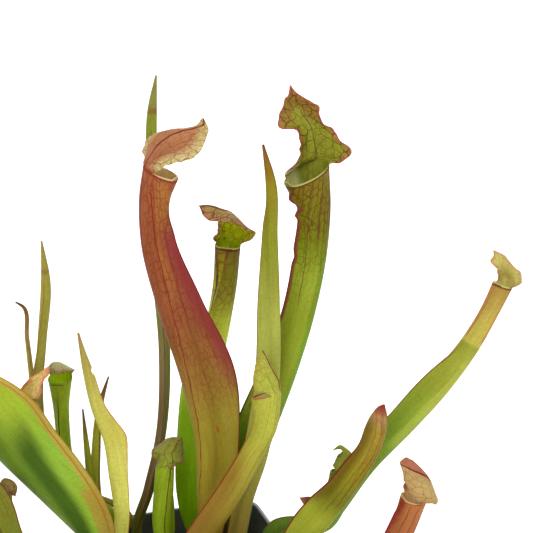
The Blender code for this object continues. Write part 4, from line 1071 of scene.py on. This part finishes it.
def rib_strength(g, values, rib):
    """How strongly one vein shows, which runs up the leaf through its own points."""
    _, strength, width, points = rib
    half = g.math("MULTIPLY", values["place"], 0.5)
    path = g.ramp(half, [(place / 2, (side / RIB_SPAN + 0.5,) * 3) for place, side in points])
    path = g.math("MULTIPLY_ADD", path, RIB_SPAN, -RIB_SPAN / 2)
    off = g.math("ABSOLUTE", g.math("SUBTRACT", values["side"], path))
    first, last = points[0][0], points[-1][0]
    ends = g.window(values["place"], first - 0.02, first + 0.04, last - 0.02, last + 0.02)
    ends = g.math("MULTIPLY", ends, strength)
    return g.math("MULTIPLY", ends, g.step(off, width * 0.6, width * 1.3, 1.0, 0.0))


def mottled(g, grain, kind):
    """How strongly one kind of unevenness shows."""
    scales, detail, low, high = kind
    return g.step(g.noise(g.scaled(grain, (*scales, 1)), 1.0, detail), low, high)


def tinted(g, colour, amount, tint):
    """A colour multiplied by a tint, by an amount from 0 to 1."""
    return g.mix(amount, colour, g.mix(1.0, colour, tint, "MULTIPLY"))


def paint(g, colour, values, layers):
    """Lays each layer's colour over its own part of the leaf."""
    for tint, strength, windows in layers:
        amount = strength
        for name, (begin, full, still, end) in windows.items():
            amount = g.math("MULTIPLY", amount, g.window(values[name], begin, full, still, end))
        colour = g.mix(amount, colour, tint)
    return colour


def leaf_colour(g, values, grain, warped, look):
    """The leaf's colour, and how strongly its veins show."""
    inside = values["inside"]
    outside = g.math("SUBTRACT", 1.0, inside)
    on_hood = g.step(values["hood"], 0.0, 0.12)
    colour = g.ramp(values["along"], look["tube"])
    colour = g.mix(on_hood, colour, g.mix(values["hood"], *look["hood"]))
    colour = g.mix(inside, colour, look["inner"])
    colour = g.mix(g.math("MULTIPLY", g.step(values["margin"], 0.5, 3.0, 0.9, 0.0), on_hood), colour,
                   look["blush"])
    colour = paint(g, colour, values, look["flush"])
    for kind, strength, tint in MOTTLING:
        colour = tinted(g, colour, g.math("MULTIPLY", mottled(g, grain, kind), strength), tint)
    veins = vein_strength(g, values, grain, warped, look)
    colour = g.mix(veins, colour, look["vein"])
    for rib in look["ribs"]:
        colour = g.mix(rib_strength(g, values, rib), colour, rib[0])
    colour = paint(g, colour, values, look["marks"])
    width, strength = look["line"]
    line = g.math("MULTIPLY", g.step(values["margin"], width * 0.6, width * 1.3, strength, 0.0), outside)
    colour = g.mix(g.math("MULTIPLY", line, values["fin"]), colour, look["edge"])
    return g.mix(g.attribute("lip"), colour, look["lip"]), veins


def leaf_material(name, look):
    """A waxy leaf that lets some light through."""
    g = Graph(name)
    values, grain, warped = leaf_values(g, float(sum(map(ord, name)) % 97))
    colour, veins = leaf_colour(g, values, grain, warped, look)
    rough = g.step(mottled(g, grain, BLOTCHES), 0.0, 1.0, 0.45, 0.58)
    height = g.math("ADD", g.math("MULTIPLY", veins, -0.6), g.noise(grain, 1.8, 4.0))
    bump = g.node("Bump", {"Strength": 0.35, "Distance": 0.0004, "Height": height}).outputs[0]
    wax = g.node("BsdfPrincipled", {"Base Color": colour, "Roughness": rough, "Normal": bump,
                                    "Specular IOR Level": 0.1})
    through = g.mix(1.0, colour, LIGHT_TINT, "MULTIPLY")
    glow = g.node("BsdfTranslucent", {"Color": through, "Normal": bump})
    leaf = g.node("MixShader", {0: LIGHT_THROUGH, 1: wax.outputs[0], 2: glow.outputs[0]})
    return g.finish(leaf.outputs[0])


def square_ring(half, z, steps=CORNER_STEPS):
    """A rounded square of points at one height."""
    corner = min(CORNER_RADIUS, half * 0.5)
    ring = []
    for quarter in range(4):
        middle = math.radians(45 + 90 * quarter)
        cx = math.copysign(half - corner, math.cos(middle))
        cy = math.copysign(half - corner, math.sin(middle))
        for step in range(steps + 1):
            angle = math.radians(90 * quarter + 90 * step / steps)
            ring.append((cx + corner * math.cos(angle), cy + corner * math.sin(angle), z))
    return ring


def square_solid(name, profile):
    """A closed solid from a profile of (half width, height) carried round a rounded square."""
    bm = bmesh.new()
    rings = [[bm.verts.new(p) for p in square_ring(half, z)] for half, z in profile]
    for low, high in zip(rings, rings[1:]):
        for i in range(len(low)):
            bm.faces.new((low[i - 1], low[i], high[i], high[i - 1]))
    bm.faces.new(rings[0])
    bm.faces.new(rings[-1])
    bmesh.ops.recalc_face_normals(bm, faces=bm.faces)
    return object_of(bm, name)


def object_of(bm, name):
    """Makes an object of a bmesh and frees the bmesh."""
    mesh = bpy.data.meshes.new(name)
    bm.to_mesh(mesh)
    bm.free()
    return in_scene(name, mesh)


def inner_half(z):
    """Half width of the room inside the pot at a height."""
    share = z / (POT_HEIGHT - RIM_BAND)
    return BASE_HALF + (WALL_TOP_HALF - BASE_HALF) * share - POT_WALL


def make_pot():
    """The moulded pot: thin tapered walls, a rolled rim band and drain holes in its base."""
    shoulder = POT_HEIGHT - RIM_BAND
    rim_inner = inner_half(shoulder) + (RIM_HALF - WALL_TOP_HALF) * 0.5
    profile = [(BASE_HALF - 1.2 * MM, 0), (BASE_HALF - 0.3 * MM, 0.3 * MM), (BASE_HALF, 1.2 * MM)]
    for step in range(1, WALL_STEPS + 1):
        share = step / WALL_STEPS
        profile.append((BASE_HALF + (WALL_TOP_HALF - BASE_HALF) * share, shoulder * share))
    profile += [(RIM_HALF - 0.9 * MM, shoulder + 0.1 * MM), (RIM_HALF - 0.3 * MM, shoulder + 0.6 * MM)]
    profile += [(RIM_HALF - 0.1 * MM, shoulder + 3 * MM), (RIM_HALF, POT_HEIGHT - 1.2 * MM)]
    profile += [(RIM_HALF - 0.25 * MM, POT_HEIGHT - 0.5 * MM), (RIM_HALF - 0.8 * MM, POT_HEIGHT - 0.05 * MM)]
    profile += [(rim_inner + 0.5 * MM, POT_HEIGHT - 0.15 * MM), (rim_inner, POT_HEIGHT - 0.7 * MM)]
    profile += [(inner_half(shoulder) + 0.2 * MM, shoulder + 1 * MM), (inner_half(shoulder), shoulder)]
    profile += [(inner_half(POT_WALL), POT_WALL)]
    pot = square_solid("pot_moulded", profile)
    bm = bmesh.new()
    for x in (-1, 1):
        for y in (-1, 1):
            made = bmesh.ops.create_cone(bm, cap_ends=True, segments=36, radius1=DRAIN_RADIUS,
                                         radius2=DRAIN_RADIUS, depth=4 * POT_WALL)
            bmesh.ops.translate(bm, verts=made["verts"], vec=(x * DRAIN_OFFSET, y * DRAIN_OFFSET, 0))
    cutter = object_of(bm, "pot_drain_cutter")
    boolean = pot.modifiers.new("holes", "BOOLEAN")
    boolean.object = cutter
    cut = bpy.data.meshes.new_from_object(pot.evaluated_get(bpy.context.evaluated_depsgraph_get()))
    pot.modifiers.clear()
    pot.data = cut
    bpy.data.objects.remove(cutter)
    cut.shade_smooth()
    cut.set_sharp_from_angle(angle=math.radians(35))
    return pot


def square_grid(half, line):
    """Points over a square with rounded corners, from a grid of shares, and how near its edge each is."""
    x, y = np.meshgrid(line, line, indexing="ij")
    corner = CORNER_RADIUS / half
    past_x, past_y = (np.maximum(np.abs(share) - (1 - corner), 0) for share in (x, y))
    length = np.hypot(past_x, past_y)
    squeeze = np.where(length > corner, corner / np.maximum(length, 1e-6), 1)
    px = np.sign(x) * (np.minimum(np.abs(x), 1 - corner) + past_x * squeeze) * half
    py = np.sign(y) * (np.minimum(np.abs(y), 1 - corner) + past_y * squeeze) * half
    return px, py, np.maximum(np.abs(x), np.abs(y))


def peat_height(rng, px, py, nearness, feet):
    """The height of the peat: uneven, lower along the pot's wall and heaped a little round each foot."""
    height = np.full_like(px, SOIL_TOP - 0.8 * MM)
    for wave in range(PEAT_WAVES):
        size = 0.35 * MM / (1 + wave * 0.06)
        pitch = (0.12 + wave * 0.05) / MM
        turn, phase = rng.uniform(0, 2 * math.pi, 2)
        height += size * np.sin((px * math.cos(turn) + py * math.sin(turn)) * pitch + phase) * 0.6
    height -= 2 * MM * eased((nearness - 0.9) / 0.1)
    for foot_x, foot_y, girth in feet:
        near = np.hypot(px - foot_x, py - foot_y) / (girth + 3 * MM)
        height += HEAP_HEIGHT * np.exp(-near**2)
    return height


def make_soil(feet):
    """Peat: a rough top with crumbs in it, on a block that fills the pot."""
    rng = np.random.default_rng(7)
    floor = POT_WALL + GAP
    half = inner_half(SOIL_TOP) - GAP
    line = np.linspace(-1, 1, PEAT_POINTS)
    px, py, nearness = square_grid(half, line)
    height = peat_height(rng, px, py, nearness, feet)
    points = np.stack([px, py, height], -1).reshape(-1, 3)
    index = np.arange(len(points)).reshape(px.shape)
    quads = np.stack([index[:-1, :-1], index[1:, :-1], index[1:, 1:], index[:-1, 1:]], -1).reshape(-1, 4)
    border = np.concatenate([index[0], index[1:, -1], index[-1, -2::-1], index[-2:0:-1, 0]])
    skirt = points[border].copy()
    skirt[:, :2] *= (inner_half(floor) - GAP) / half
    skirt[:, 2] = floor
    base = np.arange(len(border)) + len(points)
    walls = np.stack([border, np.roll(border, -1), np.roll(base, -1), base], -1)
    points = np.concatenate([points, skirt])
    mesh = bpy.data.meshes.new("soil_peat")
    mesh.from_pydata(points.tolist(), [], quads.tolist() + walls[:, ::-1].tolist() + [base.tolist()])
    bm = bmesh.new()
    bm.from_mesh(mesh)
    add_crumbs(bm, rng, half, height, line)
    bmesh.ops.recalc_face_normals(bm, faces=bm.faces)
    bm.to_mesh(mesh)
    bm.free()
    mesh.shade_smooth()
    return in_scene("soil_peat", mesh)


def add_crumbs(bm, rng, half, height, line):
    """Crumbs of peat and a few white grains of perlite, seated in the top of the soil."""
    grains = bm.verts.layers.float.new("grit")
    last = len(line) - 1
    for number in range(CRUMBS):
        white = number % PERLITE_EVERY == 0
        x, y = rng.uniform(-0.93, 0.93, 2)
        i, j = np.searchsorted(line, (x, y))
        size = rng.uniform(*CRUMB_SIZES) * MM * (1.1 if white else 1)
        place = Vector((x * half, y * half, height[min(i, last), min(j, last)] + size * 0.2))
        if math.hypot(max(abs(x) - 0.72, 0), max(abs(y) - 0.72, 0)) > 0.24:
            continue
        made = bmesh.ops.create_icosphere(bm, subdivisions=2, radius=size)
        stretch = Vector(rng.uniform(0.6, 1.2, 3))
        for vertex in made["verts"]:
            x, y = vertex.co.x / size, vertex.co.y / size
            bump = 1 + 0.18 * math.sin(x * 5 + number) * math.cos(y * 4 - number)
            vertex.co = Vector(a * b for a, b in zip(vertex.co, stretch)) * bump + place
            vertex[grains] = 1.0 if white else 0.3


def soil_material():
    """Damp dark peat, and white perlite where the mesh says so."""
    g = Graph("peat")
    place = g.node("NewGeometry").outputs["Position"]
    grit = g.attribute("grit")
    crumb = g.noise(place, 900.0, 6.0)
    browns = [(0.3, (0.012, 0.008, 0.006)), (0.55, (0.035, 0.022, 0.014)), (0.8, (0.09, 0.06, 0.035))]
    white = g.ramp(g.noise(place, 1400.0, 3.0), [(0.3, (0.42, 0.40, 0.36)), (0.7, (0.72, 0.70, 0.66))])
    colour = g.mix(g.step(grit, 0.5, 0.9), g.ramp(crumb, browns), white)
    bump = g.node("Bump", {"Strength": 0.8, "Distance": 0.0008, "Height": crumb}).outputs[0]
    peat = g.node("BsdfPrincipled", {"Base Color": colour, "Roughness": 0.92, "Normal": bump})
    return g.finish(peat.outputs[0])


def pot_material():
    """Black moulded plastic with a fine grain, a little dusty in patches."""
    g = Graph("moulded_plastic")
    place = g.node("NewGeometry").outputs["Position"]
    fine = g.noise(place, 2200.0, 2.0)
    dust = g.step(g.noise(place, 45.0, 5.0), 0.45, 0.75)
    colour = g.mix(g.math("MULTIPLY", dust, 0.6), (0.040, 0.042, 0.034), (0.085, 0.088, 0.070))
    rough = g.step(dust, 0.0, 1.0, 0.34, 0.5)
    bump = g.node("Bump", {"Strength": 0.12, "Distance": 0.0002, "Height": fine}).outputs[0]
    plastic = g.node("BsdfPrincipled", {"Base Color": colour, "Roughness": rough, "Normal": bump})
    return g.finish(plastic.outputs[0])


def floor_material():
    """White paper, a little brighter than its light, as in the photograph."""
    g = Graph("paper")
    place = g.node("NewGeometry").outputs["Position"]
    colour = g.ramp(g.noise(place, 30.0, 4.0), [(0.3, (0.90, 0.90, 0.90)), (0.7, (0.93, 0.93, 0.93))])
    paper = g.node("BsdfPrincipled", {"Base Color": colour, "Roughness": 0.9, "Specular IOR Level": 0.1,
                                      "Emission Color": (1.0, 1.0, 1.0), "Emission Strength": 0.35})
    return g.finish(paper.outputs[0])


def dress(piece, node, material):
    """Gives a piece its material and makes it stand for its CAD node."""
    piece.data.materials.clear()
    piece.data.materials.append(material)
    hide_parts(node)
    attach(piece, "root")


def add_light(name, place, target, size, power):
    """A large square lamp that points at a place on the plant."""
    lamp = bpy.data.lights.new(name, "AREA")
    lamp.size = size
    lamp.energy = power
    made = in_scene(name, lamp)
    made.location = place
    made.rotation_euler = (Vector(target) - Vector(place)).to_track_quat("-Z", "Y").to_euler()


def add_camera():
    """The photograph's view: from the plant's left front, 18 degrees above the level."""
    flat = math.cos(CAMERA_RISE)
    back = Vector((math.sin(CROWN_TURN) * flat, -math.cos(CROWN_TURN) * flat, math.sin(CAMERA_RISE)))
    right = Vector((math.cos(CROWN_TURN), math.sin(CROWN_TURN), 0))
    up = back.cross(right)
    place = right * CAMERA_AIMS_RIGHT + Vector((0, 0, CAMERA_AIMS_UP)) + back * CAMERA_DISTANCE
    data = bpy.data.cameras.new("camera")
    data.sensor_width = SENSOR
    data.lens = LENS
    data.clip_start = 0.01
    camera = in_scene("camera", data)
    camera.matrix_world = Matrix([[*row] for row in zip(right, up, back, place)] + [[0, 0, 0, 1]])
    bpy.context.scene.camera = camera


def add_studio():
    """A white floor, an even white sky and soft lamps."""
    bm = bmesh.new()
    bmesh.ops.create_grid(bm, x_segments=8, y_segments=8, size=6)
    floor = object_of(bm, "floor")
    floor.data.materials.append(floor_material())
    world = bpy.data.worlds.new("sky")
    world.use_nodes = True
    sky = world.node_tree.nodes["Background"].inputs
    sky["Color"].default_value = (1, 1, 1, 1)
    sky["Strength"].default_value = 1.0
    bpy.context.scene.world = world
    for lamp in LAMPS:
        add_light(*lamp)


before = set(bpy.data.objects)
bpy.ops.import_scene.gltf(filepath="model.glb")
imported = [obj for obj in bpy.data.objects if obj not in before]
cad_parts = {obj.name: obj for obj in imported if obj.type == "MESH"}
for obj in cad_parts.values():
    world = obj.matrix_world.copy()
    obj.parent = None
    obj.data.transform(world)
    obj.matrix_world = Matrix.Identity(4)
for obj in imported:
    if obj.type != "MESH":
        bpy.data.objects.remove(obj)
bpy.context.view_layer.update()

feet = []
for shape in (PITCHERS | BLADES).values():
    foot_x, foot_y, foot_girth = shape["foot"]
    feet.append((*turned(np.array([foot_x, foot_y, 0.0]) * MM)[:2], foot_girth * MM))
for leaf_name, leaf_shape in PITCHERS.items():
    dress(make_pitcher(leaf_name, leaf_shape), leaf_name, leaf_material(leaf_name, LOOKS[leaf_name]))
for leaf_name, leaf_shape in BLADES.items():
    dress(make_blade(leaf_name, leaf_shape), leaf_name, leaf_material(leaf_name, LOOKS[leaf_name]))
dress(make_pot(), "pot", pot_material())
dress(make_soil(feet), "soil", soil_material())

add_studio()
add_camera()
bpy.context.scene.view_settings.view_transform = "Standard"
